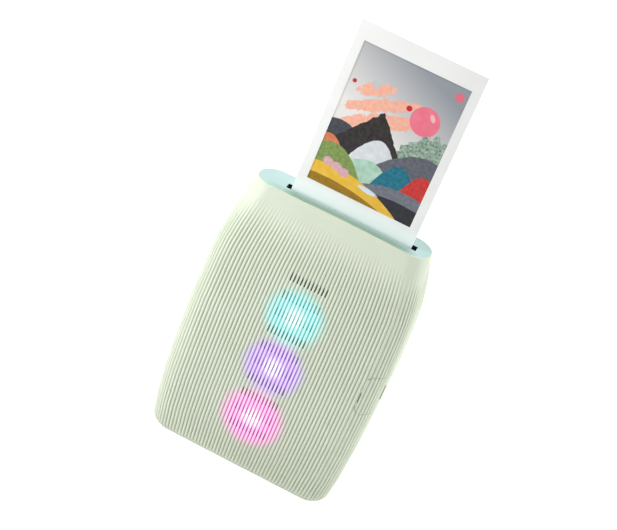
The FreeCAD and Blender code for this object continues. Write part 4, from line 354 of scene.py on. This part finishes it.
def board_laminate():
    """Glass laminate under green solder mask, with copper tracks raised under it.

    The tracks show as paler green lines with a glossy edge.
    """
    material, tree, shader, place = start_finish("solder mask on glass laminate", Roughness=0.35,
                                                 IOR=1.55)
    cells = add(tree, "TexVoronoi", place, Scale=per(3.2), Randomness=0.35, distance="MANHATTAN")
    rings = add(tree, "Math", cells.outputs["Distance"], 26.0, operation="MULTIPLY")
    tracks = add(tree, "MapRange", add(tree, "Math", rings, operation="SINE"), 0.2, 0.5)
    feed(shader.inputs["Base Color"], add(tree, "Mix", tracks, "0c4a2c", "17683f", data_type="RGBA"))
    grain(tree, shader, tracks, 0.03)
    return material


def lamp_milk():
    """Milky diffuser sheet with a smoke tint, lit by the three lamps behind it.

    Through the slots it looks darker than the glowing wall round them.
    """
    colours = bpy.context.scene.printer_colours
    material, tree, shader, place = start_finish("milky diffuser sheet, smoke-tinted",
                                                 Roughness=0.6, IOR=1.49)
    feed(shader.inputs["Base Color"], blotch(tree, place, 8, "30363a", "2a3033"))
    lights = []
    for name, height, _ in LAMPS:
        reach = lamp_reach(tree, place, height)
        fade = add(tree, "MapRange", reach, SHEET_RADIUS / 1000, SHEET_RADIUS / 3000,
                   interpolation_type="SMOOTHSTEP")
        lights.append((getattr(colours, name), fade))
    feed(shader.inputs["Emission Color"], shine_together(tree, lights))
    feed(shader.inputs["Emission Strength"], 0.8)
    return material


def lamp_package():
    """Clear lamp package over its yellow phosphor: glassy, and lit pale yellow."""
    material, tree, shader, place = start_finish("lamp package", Roughness=0.2, IOR=1.53)
    feed(shader.inputs["Base Color"], blotch(tree, place, 1.5, "f6efb4", "efe08a"))
    feed(shader.inputs["Emission Color"], blotch(tree, place, 1.5, "ffffff", "f4f0d8"))
    feed(shader.inputs["Emission Strength"], 1.5)
    grain(tree, shader, add(tree, "TexNoise", place, Scale=per(0.8), Detail=3.0), 0.02)
    return material


def flex_polyimide():
    """Amber polyimide strip, glossy, with darker copper lines 1 mm apart along it."""
    material, tree, shader, place = start_finish("polyimide flex with copper lines", Roughness=0.3,
                                                 IOR=1.6)
    x = add(tree, "SeparateXYZ", place).outputs["X"]
    comb = add(tree, "Math", x, 2 * math.pi * per(1.0), operation="MULTIPLY")
    lines = add(tree, "MapRange", add(tree, "Math", comb, operation="SINE"), -0.1, 0.2)
    feed(shader.inputs["Base Color"], add(tree, "Mix", lines, "7a3d0e", "b8691f", data_type="RGBA"))
    return material


def smoked_window():
    """Smoked clear plastic over the status lamp: nearly black, with almost no shine."""
    material, tree, shader, place = start_finish("smoked window plastic", Roughness=0.3, IOR=1.49,
                                                 Specular_IOR_Level=0.03)
    feed(shader.inputs["Base Color"], blotch(tree, place, 3, "161a1a", "1f2423"))
    grain(tree, shader, add(tree, "TexNoise", place, Scale=per(2.0), Detail=3.0), 0.004)
    return material


def lens_glass():
    """Clear rod lens: one bright line along it, and the dark housing seen through it."""
    material, tree, shader, place = start_finish("rod lens glass", Roughness=0.05, IOR=1.52,
                                                 Transmission_Weight=1.0)
    feed(shader.inputs["Base Color"], blotch(tree, place, 10, "eef7f5", "e2f0ee"))
    return material


def film_axes(tree, place):
    """Places across and up the print, in mm, from the picture's middle."""
    lean = math.radians(FILM_LEAN)
    upwards = (0.0, math.sin(lean) * 1000, math.cos(lean) * 1000)
    along = add(tree, "VectorMath", place, upwards, operation="DOT_PRODUCT")
    middle = math.sin(lean) * FILM_BEHIND + math.cos(lean) * FILM_TOP + PICTURE_MIDDLE
    across = add(tree, "Math", add(tree, "SeparateXYZ", place).outputs["X"], 1000.0,
                 operation="MULTIPLY")
    across = add(tree, "Math", across, FILM_ACROSS, operation="SUBTRACT")
    return across, add(tree, "Math", along, middle, operation="SUBTRACT")


def film_coating():
    """Coated white film: smooth and slightly glossy, with a faint wave in its shine.

    Near the slot it carries painted light bounced from the plate, in the plate's colour.
    """
    border = bpy.context.scene.printer_colours.border
    material, tree, shader, place = start_finish("coated white film", Roughness=0.28, IOR=1.5)
    up = film_axes(tree, place)[1]
    low, high = [height - PICTURE_MIDDLE for height in BOUNCE_ENDS]
    # Painted light: near the slot the film gets a paler mint base and a faint glow, standing in for light
    # bounced from the plate.
    tint = add(tree, "MapRange", up, high, low, interpolation_type="SMOOTHSTEP")
    white = blotch(tree, place, 30, border, "f4f4f1")
    feed(shader.inputs["Base Color"], add(tree, "Mix", tint, white, "f8fffe", data_type="RGBA"))
    bounce = add(tree, "Mix", tint, "000000", "d2f4ee", data_type="RGBA")
    feed(shader.inputs["Emission Color"], bounce)
    feed(shader.inputs["Emission Strength"], 0.13)
    grain(tree, shader, add(tree, "TexNoise", place, Scale=per(9), Detail=3.0), 0.03)
    return material


class Painting:
    """Builds a picture out of shapes laid over each other, on a plane in mm."""

    def __init__(self, tree, across, up, colour):
        self.tree = tree
        self.across = across
        self.up = up
        self.flat = add(tree, "CombineXYZ", across, up)
        self.colour = colour

    def ragged(self, size, seed, detail=2.0):
        """Noise about zero, with features of a size in mm on the picture."""
        moved = add(self.tree, "Mapping", self.flat, Location=(seed, seed, 0.0))
        wander = add(self.tree, "TexNoise", moved, Scale=1 / size, Detail=detail, noise_dimensions="2D")
        return add(self.tree, "Math", wander, 0.5, operation="SUBTRACT")

    def lay(self, mask, tone, tone_in_patches=None, patch=1.5):
        """Paint a shape in one tone, or in patches of two."""
        if tone_in_patches:
            patches = add(self.tree, "MapRange", self.ragged(patch, 7.0, 4.0), -0.25, 0.25)
            tone = add(self.tree, "Mix", patches, tone, tone_in_patches, data_type="RGBA")
        self.colour = add(self.tree, "Mix", mask, self.colour, tone, data_type="RGBA")

    def oval(self, centre, halves, tilt=0.0, rough=0.0):
        """Mask of an oval with its half sizes, turned and with a ragged edge."""
        held = add(self.tree, "Mapping", self.flat, Location=(*centre, 0.0), Rotation=(0.0, 0.0, tilt),
                   Scale=(*halves, 1.0), vector_type="TEXTURE")
        reach = add(self.tree, "VectorMath", held, operation="LENGTH")
        if rough:
            wander = add(self.tree, "Math", self.ragged(2.5, 5.0), rough, operation="MULTIPLY")
            reach = add(self.tree, "Math", reach, wander, operation="ADD")
        soft = SOFT_EDGE / min(halves)
        return add(self.tree, "MapRange", reach, 1 + soft, 1 - soft)

    def hill(self, middle, top, reach, drop, rough=1.0, size=5.0, peaked=False):
        """Mask of all that lies under a hill's line."""
        away = add(self.tree, "Math", self.across, middle, operation="SUBTRACT")
        away = add(self.tree, "Math", away, reach, operation="DIVIDE")
        if peaked:
            fall = add(self.tree, "Math", away, operation="ABSOLUTE")
        else:
            fall = add(self.tree, "Math", away, away, operation="MULTIPLY")
        fall = add(self.tree, "Math", fall, drop, operation="MULTIPLY")
        line = add(self.tree, "Math", top, fall, operation="SUBTRACT")
        wander = add(self.tree, "Math", self.ragged(size, middle), rough, operation="MULTIPLY")
        line = add(self.tree, "Math", line, wander, operation="ADD")
        gap = add(self.tree, "Math", line, self.up, operation="SUBTRACT")
        return add(self.tree, "MapRange", gap, -SOFT_EDGE, SOFT_EDGE)


def paint_sky(painting):
    """Coral cloud bands, a rose sun and some drifting seeds."""
    clouds = (((-11.0, 15.0), (8.0, 2.6)), ((-6.5, 10.0), (15.5, 2.5)), ((-5.0, 3.0), (17.5, 3.4)))
    for centre, halves in clouds:
        painting.lay(painting.oval(centre, halves, 0.42, 0.9), "f6ab92", "fbc3ad")
    painting.lay(painting.oval((11.3, 11.6), (6.1, 6.1)), "f2738a", "f58496", 4.0)
    painting.lay(painting.oval((13.6, 14.2), (0.9, 1.7), 0.6), "f9c0bd")
    seeds = (((19.8, 26.6), 1.8, "ee7385"), ((3.6, 13.9), 1.2, "cc2237"), ((-20.4, 14.6), 0.9, "c42a35"),
             ((-11.8, 17.0), 1.8, "c6c9cb"))
    for centre, radius, tone in seeds:
        painting.lay(painting.oval(centre, (radius, radius)), tone)


def paint_land(painting):
    """Far peaks, snow, woods and coloured fields, from the back to the front."""
    painting.lay(painting.hill(20.0, 7.5, 13.0, 9.0, 8.0, 2.2), "55775f", "b9cbbd", 1.2)
    painting.lay(painting.hill(-19.0, -2.5, 12.0, 5.0), "3a3c44", "494c55")
    painting.lay(painting.hill(-4.5, 8.0, 7.0, 8.5, 2.5, 3.0, peaked=True), "1d1c20", "3a3331", 1.8)
    painting.lay(painting.hill(-1.0, -3.5, 9.0, 9.0, 1.5), "e6e9ea", "cfd5d9", 3.0)
    painting.lay(painting.hill(20.0, -2.0, 13.0, 5.0), "565963", "6b6e78")
    painting.lay(painting.hill(-2.0, -13.0, 10.0, 5.0), "9cc7af", "c2dfce", 3.0)
    painting.lay(painting.hill(-21.0, -9.5, 6.0, 4.0, 0.6), "cc734b", "dd8c62")
    painting.lay(painting.hill(-17.5, -12.5, 10.0, 5.0, 0.8), "6f8747", "8da45d")
    painting.lay(painting.hill(10.5, -9.5, 8.0, 9.0, 0.8), "10617a", "2a7f92")
    painting.lay(painting.hill(20.5, -9.5, 7.0, 9.0, 0.8), "c2292b", "d8453e")
    painting.lay(painting.hill(16.0, -19.0, 14.0, 2.5, 0.5), "676a75", "7c7f8a")
    painting.lay(painting.hill(16.0, -24.0, 18.0, 2.0, 0.5), "212228", "2e3037")
    painting.lay(painting.hill(-14.0, -21.5, 22.0, 5.0, 0.5), "e8b52f", "f0c550", 4.0)
    painting.lay(painting.hill(-16.0, -27.2, 24.0, 3.5, 0.3), "8d6a12", "a88020")
    for centre in ((-17.5, -20.6), (-13.7, -21.3), (-10.1, -22.3)):
        painting.lay(painting.oval(centre, (2.2, 1.8), 0.0, 0.5), "d39aa6", "e5bcc2", 0.8)
    painting.lay(painting.oval((1.5, -25.0), (4.2, 1.0), -0.1, 0.4), "c9dcea", "eef2f6", 0.8)


def picture_print():
    """A printed landscape under a glossy layer, set a little below the white border.

    The picture is the script's own: sky, clouds, peaks, woods and fields. The border throws
    a narrow shade on its left and upper edges, and the sky grows darker to the upper right.
    """
    material, tree, shader, place = start_finish("glossy picture layer", Roughness=0.3, IOR=1.5,
                                                 Specular_IOR_Level=0.25)
    across, up = film_axes(tree, place)
    slant = add(tree, "Math", across, SKY_SLANT, operation="MULTIPLY")
    height = add(tree, "Math", up, slant, operation="ADD")
    sky = add(tree, "Mix", add(tree, "MapRange", height, *SKY_ENDS), "eeeae7", "989ea5",
              data_type="RGBA")
    painting = Painting(tree, across, up, sky)
    paint_sky(painting)
    paint_land(painting)
    half_width, half_height = PICTURE_HALF
    width, dark = LEFT_SHADE
    left = add(tree, "MapRange", across, -half_width, width - half_width, dark, 1.0)
    width, dark = UPPER_SHADE
    above = add(tree, "MapRange", up, half_height, half_height - width, dark, 1.0)
    shade = add(tree, "Math", left, above, operation="MULTIPLY")
    feed(shader.inputs["Base Color"], add(tree, "VectorMath", painting.colour, shade, operation="SCALE"))
    return material


def dress(node, material, angle=32.0):
    """Give a carried-over solid its finish and smooth its rounded faces."""
    solid = NODES[node]
    solid.data.materials.clear()
    solid.data.materials.append(material)
    for face in solid.data.polygons:
        face.use_smooth = True
    weld = solid.modifiers.new("joined triangles", "WELD")
    weld.merge_threshold = 0.000001
    split = solid.modifiers.new("crisp edges", "EDGE_SPLIT")
    split.split_angle = math.radians(angle)


class PRINTER_OT_case(bpy.types.Operator):
    """Finish the ribbed shells, the film door and the power button."""

    bl_idname = "printer.case"
    bl_label = "Ribbed case"

    def execute(self, context):
        dress("front_shell", case_plastic("matt moulded plastic, lit from behind", glow=True), 50)
        plain = case_plastic("matt moulded plastic")
        for node in ("rear_shell", "film_door", "power_button"):
            dress(node, plain, 50)
        dress("door_latch", moulded("matt plastic, deeper green-grey", "bfc9b6", "b6c1ad", 0.5))
        dress("status_window", smoked_window())
        return {"FINISHED"}


def slotted_top():
    """Matt moulded plastic, blue-green, with painted shade that makes the slot near black.

    In front of the slot the plate carries a painted shadow of the print, a little deeper and greener.
    """
    top = bpy.context.scene.printer_colours.top
    material = moulded("matt moulded plastic, blue-green", top, "b9d9d5", 0.5, 18.0, 0.35, 0.01)
    tree = material.node_tree
    shader = next(item for item in tree.nodes if item.type == "BSDF_PRINCIPLED")
    tone = shader.inputs["Base Color"].links[0].from_socket
    x, y, _ = add(tree, "SeparateXYZ", add(tree, "TexCoord").outputs["Object"]).outputs
    # Painted shadow: the print's shade on the plate in front of the slot.
    near = add(tree, "MapRange", y, SLOT_SIDES[0] / 1000, (SLOT_SIDES[0] - PRINT_SHADOW_DEPTH) / 1000)
    aside = add(tree, "Math", x, operation="ABSOLUTE")
    between = add(tree, "MapRange", aside, *[half / 1000 for half in PRINT_SHADOW_HALVES])
    before = add(tree, "Math", near, between, operation="MULTIPLY")
    before = add(tree, "Math", before, PRINT_SHADOW_SHARE, operation="MULTIPLY")
    tone = add(tree, "Mix", before, tone, "93b99e", data_type="RGBA")
    # Painted shade: the slot's walls are made near black.
    slot = add(tree, "Math", within(tree, x, SLOT_ENDS), within(tree, y, SLOT_SIDES),
               operation="MULTIPLY")
    feed(shader.inputs["Base Color"], add(tree, "Mix", slot, tone, "060707", data_type="RGBA"))
    return material


class PRINTER_OT_top(bpy.types.Operator):
    """Finish the top plate, the black guide under it and its felts."""

    bl_idname = "printer.top"
    bl_label = "Top plate and slot"

    def execute(self, context):
        dress("top_plate", slotted_top())
        dress("exit_guide", moulded("black light-tight plastic", "0d0d0e", "151516", 0.55))
        dress("slot_felts", fibre("black felt", "08080a", "131316", 0.3, 0.15))
        return {"FINISHED"}


class PRINTER_OT_print(bpy.types.Operator):
    """Finish the print's white film and its picture."""

    bl_idname = "printer.instant_print"
    bl_label = "Instant print"

    def execute(self, context):
        dress("print_sheet", film_coating())
        dress("print_picture", picture_print())
        return {"FINISHED"}


class PRINTER_OT_film(bpy.types.Operator):
    """Finish the film pack and the claw that feeds from it."""

    bl_idname = "printer.film"
    bl_label = "Film pack"

    def execute(self, context):
        dress("film_case", moulded("black film case plastic", "101113", "191a1d", 0.5))
        dress("film_sheets", moulded("unexposed film sheets", "d8d9d2", "c9cbc4", 0.3, 30.0, 9.0, 0.03))
        spring = rolled_metal("spring steel", "a9aaa8", "8f908e", 0.3, (1.0, 1.0, 0.1))
        for node in ("pack_spring", "film_claw", "roller_springs", "pressure_springs"):
            dress(node, spring)
        # Painted shade: the spring is made dark so the button's gap reads as shade.
        dress("button_spring", rolled_metal("blued spring steel", "3c4045", "2c3035", 0.45, (1.0, 1.0, 0.1)))
        return {"FINISHED"}


class PRINTER_OT_chassis(bpy.types.Operator):
    """Finish the chassis and the two side frames of the roller unit."""

    bl_idname = "printer.chassis"
    bl_label = "Chassis and frames"

    def execute(self, context):
        dress("chassis", moulded("glass-filled grey plastic", "34363a", "3e4145", 0.62))
        plated = rolled_metal("zinc-plated pressed steel", "a4a8aa", "868a8c", 0.38, (0.2, 1.0, 1.0))
        for node in ("left_frame", "right_frame"):
            dress(node, plated)
        dress("gear_cover", moulded("dark acetal", "2c2d30", "232427", 0.42))
        return {"FINISHED"}


class PRINTER_OT_lamps(bpy.types.Operator):
    """Finish the lamp packages, their baffle and the diffuser."""

    bl_idname = "printer.lamps"
    bl_label = "Lamps"

    def execute(self, context):
        dress("light_leds", lamp_package())
        dress("light_baffle", moulded("white reflector plastic", "f1f1ee", "e6e6e2", 0.5))
        dress("light_diffuser", lamp_milk())
        return {"FINISHED"}


class PRINTER_OT_electronics(bpy.types.Operator):
    """Finish the boards, what stands on them, the flexes and the battery."""

    bl_idname = "printer.electronics"
    bl_label = "Electronics"

    def execute(self, context):
        laminate = board_laminate()
        for node in ("main_board", "side_board", "port_board"):
            dress(node, laminate)
        dress("board_chips", moulded("moulded chip package", "17181a", "202124", 0.45, 4.0))
        dress("power_switch", moulded("black switch plastic", "1b1c1e", "262729", 0.4, 4.0))
        dress("board_plugs", moulded("natural connector plastic", "d9d2bd", "cfc7b0", 0.4, 4.0))
        flex = flex_polyimide()
        for node in ("head_flex", "battery_lead"):
            dress(node, flex)
        # Painted shade: the flex is made dark so the button's gap reads as shade.
        dress("side_flex", moulded("black coverlay flex", "17181a", "202124", 0.5, 6.0))
        dress("battery", rolled_metal("laminated cell pouch", "b4b6b8", "9c9ea1", 0.34, (1.0, 0.3, 1.0),
                                      size=2.0, depth=0.03))
        foam = fibre("closed-cell foam", "131416", "1d1e21", 0.4, 0.12)
        for node in ("battery_foam", "door_seal"):
            dress(node, foam)
        return {"FINISHED"}


class PRINTER_OT_port(bpy.types.Operator):
    """Finish the charging port's steel shell and its tongue."""

    bl_idname = "printer.port"
    bl_label = "Charging port"

    def execute(self, context):
        dress("charging_port",
              rolled_metal("drawn stainless shell", "b9bbbc", "9fa2a4", 0.28, (0.1, 1.0, 1.0)))
        dress("port_tongue", moulded("black contact tongue", "141516", "1f2022", 0.4, 3.0))
        return {"FINISHED"}


class PRINTER_OT_rollers(bpy.types.Operator):
    """Finish the rollers, bushes, gears, axles and motor."""

    bl_idname = "printer.rollers"
    bl_label = "Rollers and gears"

    def execute(self, context):
        ground = rolled_metal("ground steel", "c1c3c4", "a3a6a8", 0.2, (0.1, 1.0, 1.0))
        for node in ("front_roller", "rear_roller", "gear_axles", "motor_shaft", "hinge_pins"):
            dress(node, ground)
        dress("roller_bushes", rolled_metal("sintered bronze", "b0793f", "8c5c2c", 0.45, (1.0, 1.0, 1.0)))
        acetal = moulded("natural acetal", "ebe9df", "dedbcf", 0.35, 3.0)
        for node in ("front_roller_gear", "rear_roller_gear", "first_gear", "second_gear"):
            dress(node, acetal)
        dress("motor_pinion", rolled_metal("cut brass", "cfa456", "b1883d", 0.3, (0.2, 1.0, 1.0)))
        dress("drive_motor",
              rolled_metal("nickel-plated motor can", "a8aaab", "8d8f91", 0.3, (1.0, 0.2, 0.2)))
        return {"FINISHED"}


class PRINTER_OT_exposure(bpy.types.Operator):
    """Finish the exposure head and its rod lens."""

    bl_idname = "printer.exposure"
    bl_label = "Exposure head"

    def execute(self, context):
        dress("exposure_head", moulded("black head housing", "121315", "1b1c1f", 0.5))
        dress("exposure_lens", lens_glass())
        return {"FINISHED"}


class PRINTER_OT_door_fittings(bpy.types.Operator):
    """Finish what the film door carries inside."""

    bl_idname = "printer.door_fittings"
    bl_label = "Door fittings"

    def execute(self, context):
        dress("door_panel", moulded("dark grey tray plastic", "2b2d30", "35373b", 0.55))
        dress("pressure_pads", moulded("black pad plastic", "151618", "202124", 0.4))
        return {"FINISHED"}


class PRINTER_OT_screws(bpy.types.Operator):
    """Finish every screw."""

    bl_idname = "printer.screws"
    bl_label = "Screws"

    def execute(self, context):
        steel = rolled_metal("black-passivated steel", "3a3b3d", "2a2b2c", 0.35, (1.0, 1.0, 1.0))
        for node in ("chassis_screws", "board_screws", "frame_screws", "cover_screws", "port_screws"):
            dress(node, steel)
        return {"FINISHED"}


def white_to_camera(tree, plain, shown):
    """Show one colour to the camera and in reflections, and light with another."""
    path = add(tree, "LightPath").outputs
    seen = add(tree, "Math", path["Is Camera Ray"], path["Is Glossy Ray"], operation="MAXIMUM")
    seen = add(tree, "Math", seen, path["Is Transmission Ray"], operation="MAXIMUM")
    return add(tree, "MixShader", seen, plain, shown)


class PRINTER_OT_stage(bpy.types.Operator):
    """Set the floor, the lamps, the surrounding light and the camera."""

    bl_idname = "printer.stage"
    bl_label = "Stage"

    def execute(self, context):
        scene = context.scene
        self.lay_floor(scene)
        self.surround(scene)
        self.hang_lamps(scene)
        self.set_camera(scene)
        scene.view_settings.view_transform = "Standard"
        return {"FINISHED"}

    def lay_floor(self, scene):
        """White paper that keeps the object's shadow."""
        mesh = bpy.data.meshes.new("floor")
        shape = bmesh.new()
        bmesh.ops.create_grid(shape, x_segments=1, y_segments=1, size=FLOOR_HALF)
        shape.to_mesh(mesh)
        shape.free()
        floor = bpy.data.objects.new("floor", mesh)
        scene.collection.objects.link(floor)
        paper = bpy.data.materials.new("white paper floor")
        paper.use_nodes = True
        tree = paper.node_tree
        tree.nodes.clear()
        tone = blotch(tree, add(tree, "TexCoord").outputs["Object"], 300, "ffffff", "fbfbfb")
        matt = add(tree, "BsdfDiffuse", tone)
        bright = add(tree, "AddShader", matt, add(tree, "Emission", tone, FLOOR_WHITE))
        add(tree, "OutputMaterial", white_to_camera(tree, matt, bright))
        mesh.materials.append(paper)

    def surround(self, scene):
        """Soft light from all sides, seen as plain white."""
        world = bpy.data.worlds.new("studio")
        scene.world = world
        world.use_nodes = True
        tree = world.node_tree
        tree.nodes.clear()
        around = add(tree, "Background", "f2f5f6", scene.printer_sizes.fill)
        behind = add(tree, "Background", "ffffff", 1.0)
        add(tree, "OutputWorld", white_to_camera(tree, around, behind))

    def hang_lamps(self, scene):
        """A near key lamp that grazes the ribs, one from above and behind, one from the right."""
        for name, place, side, share in STUDIO_LAMPS:
            light = bpy.data.lights.new(name, "AREA")
            light.energy = scene.printer_sizes.key_energy * share
            light.size = side
            lamp = bpy.data.objects.new(name, light)
            lamp.location = place
            lamp.rotation_euler = (Vector(AIM) - Vector(place)).to_track_quat("-Z", "Y").to_euler()
            scene.collection.objects.link(lamp)

    def set_camera(self, scene):
        """The photograph's place and angle, with its small off-centre framing."""
        azimuth, elevation, roll = [math.radians(angle) for angle in CAMERA_TURN]
        width, height = FRAME_PIXELS
        back = Vector((math.sin(azimuth) * math.cos(elevation), -math.cos(azimuth) * math.cos(elevation),
                       math.sin(elevation)))
        right = (-back).cross(Vector((0, 0, 1))).normalized()
        up = right.cross(-back)
        turned_right = right * math.cos(roll) + up * math.sin(roll)
        turned_up = up * math.cos(roll) - right * math.sin(roll)
        view = bpy.data.cameras.new("camera")
        view.sensor_width = 36.0
        view.lens = FOCAL_PIXELS * view.sensor_width / width
        view.shift_x = (width / 2 - MIDDLE_PIXELS[0]) / width
        view.shift_y = (MIDDLE_PIXELS[1] - height / 2) / width
        view.clip_start = 0.01
        eye = bpy.data.objects.new("camera", view)
        axes = Matrix((turned_right, turned_up, back)).transposed()
        eye.matrix_world = Matrix.Translation(back * CAMERA_DISTANCE + Vector(CAMERA_CENTRE)) @ axes.to_4x4()
        scene.collection.objects.link(eye)
        scene.camera = eye


class PRINTER_PT_panel(bpy.types.Panel):
    """Colours, sizes and the steps that dress the printer."""

    bl_idname = "PRINTER_PT_panel"
    bl_label = "Photo printer"
    bl_space_type = "VIEW_3D"
    bl_region_type = "UI"
    bl_category = "Printer"

    def draw(self, context):
        colours = context.scene.printer_colours
        sizes = context.scene.printer_sizes
        for name in ("case", "case_shade", "groove", "top", "cyan", "violet", "magenta", "border"):
            self.layout.prop(colours, name)
        for name in ("glow", "grain", "key_energy", "fill"):
            self.layout.prop(sizes, name)
        for step in STEPS:
            self.layout.operator(step.bl_idname)


STEPS = (PRINTER_OT_stage, PRINTER_OT_case, PRINTER_OT_top, PRINTER_OT_print, PRINTER_OT_film,
         PRINTER_OT_chassis, PRINTER_OT_lamps, PRINTER_OT_electronics, PRINTER_OT_port,
         PRINTER_OT_rollers, PRINTER_OT_exposure, PRINTER_OT_door_fittings, PRINTER_OT_screws)
CLASSES = (PrinterColours, PrinterSizes, *STEPS, PRINTER_PT_panel)


def register():
    for item in CLASSES:
        bpy.utils.register_class(item)
    bpy.types.Scene.printer_colours = bpy.props.PointerProperty(type=PrinterColours)
    bpy.types.Scene.printer_sizes = bpy.props.PointerProperty(type=PrinterSizes)


def unregister():
    del bpy.types.Scene.printer_sizes
    del bpy.types.Scene.printer_colours
    for item in reversed(CLASSES):
        bpy.utils.unregister_class(item)


def main():
    """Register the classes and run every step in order."""
    register()
    for step in STEPS:
        group, name = step.bl_idname.split(".")
        getattr(getattr(bpy.ops, group), name)()


if __name__ == "__main__":
    main()
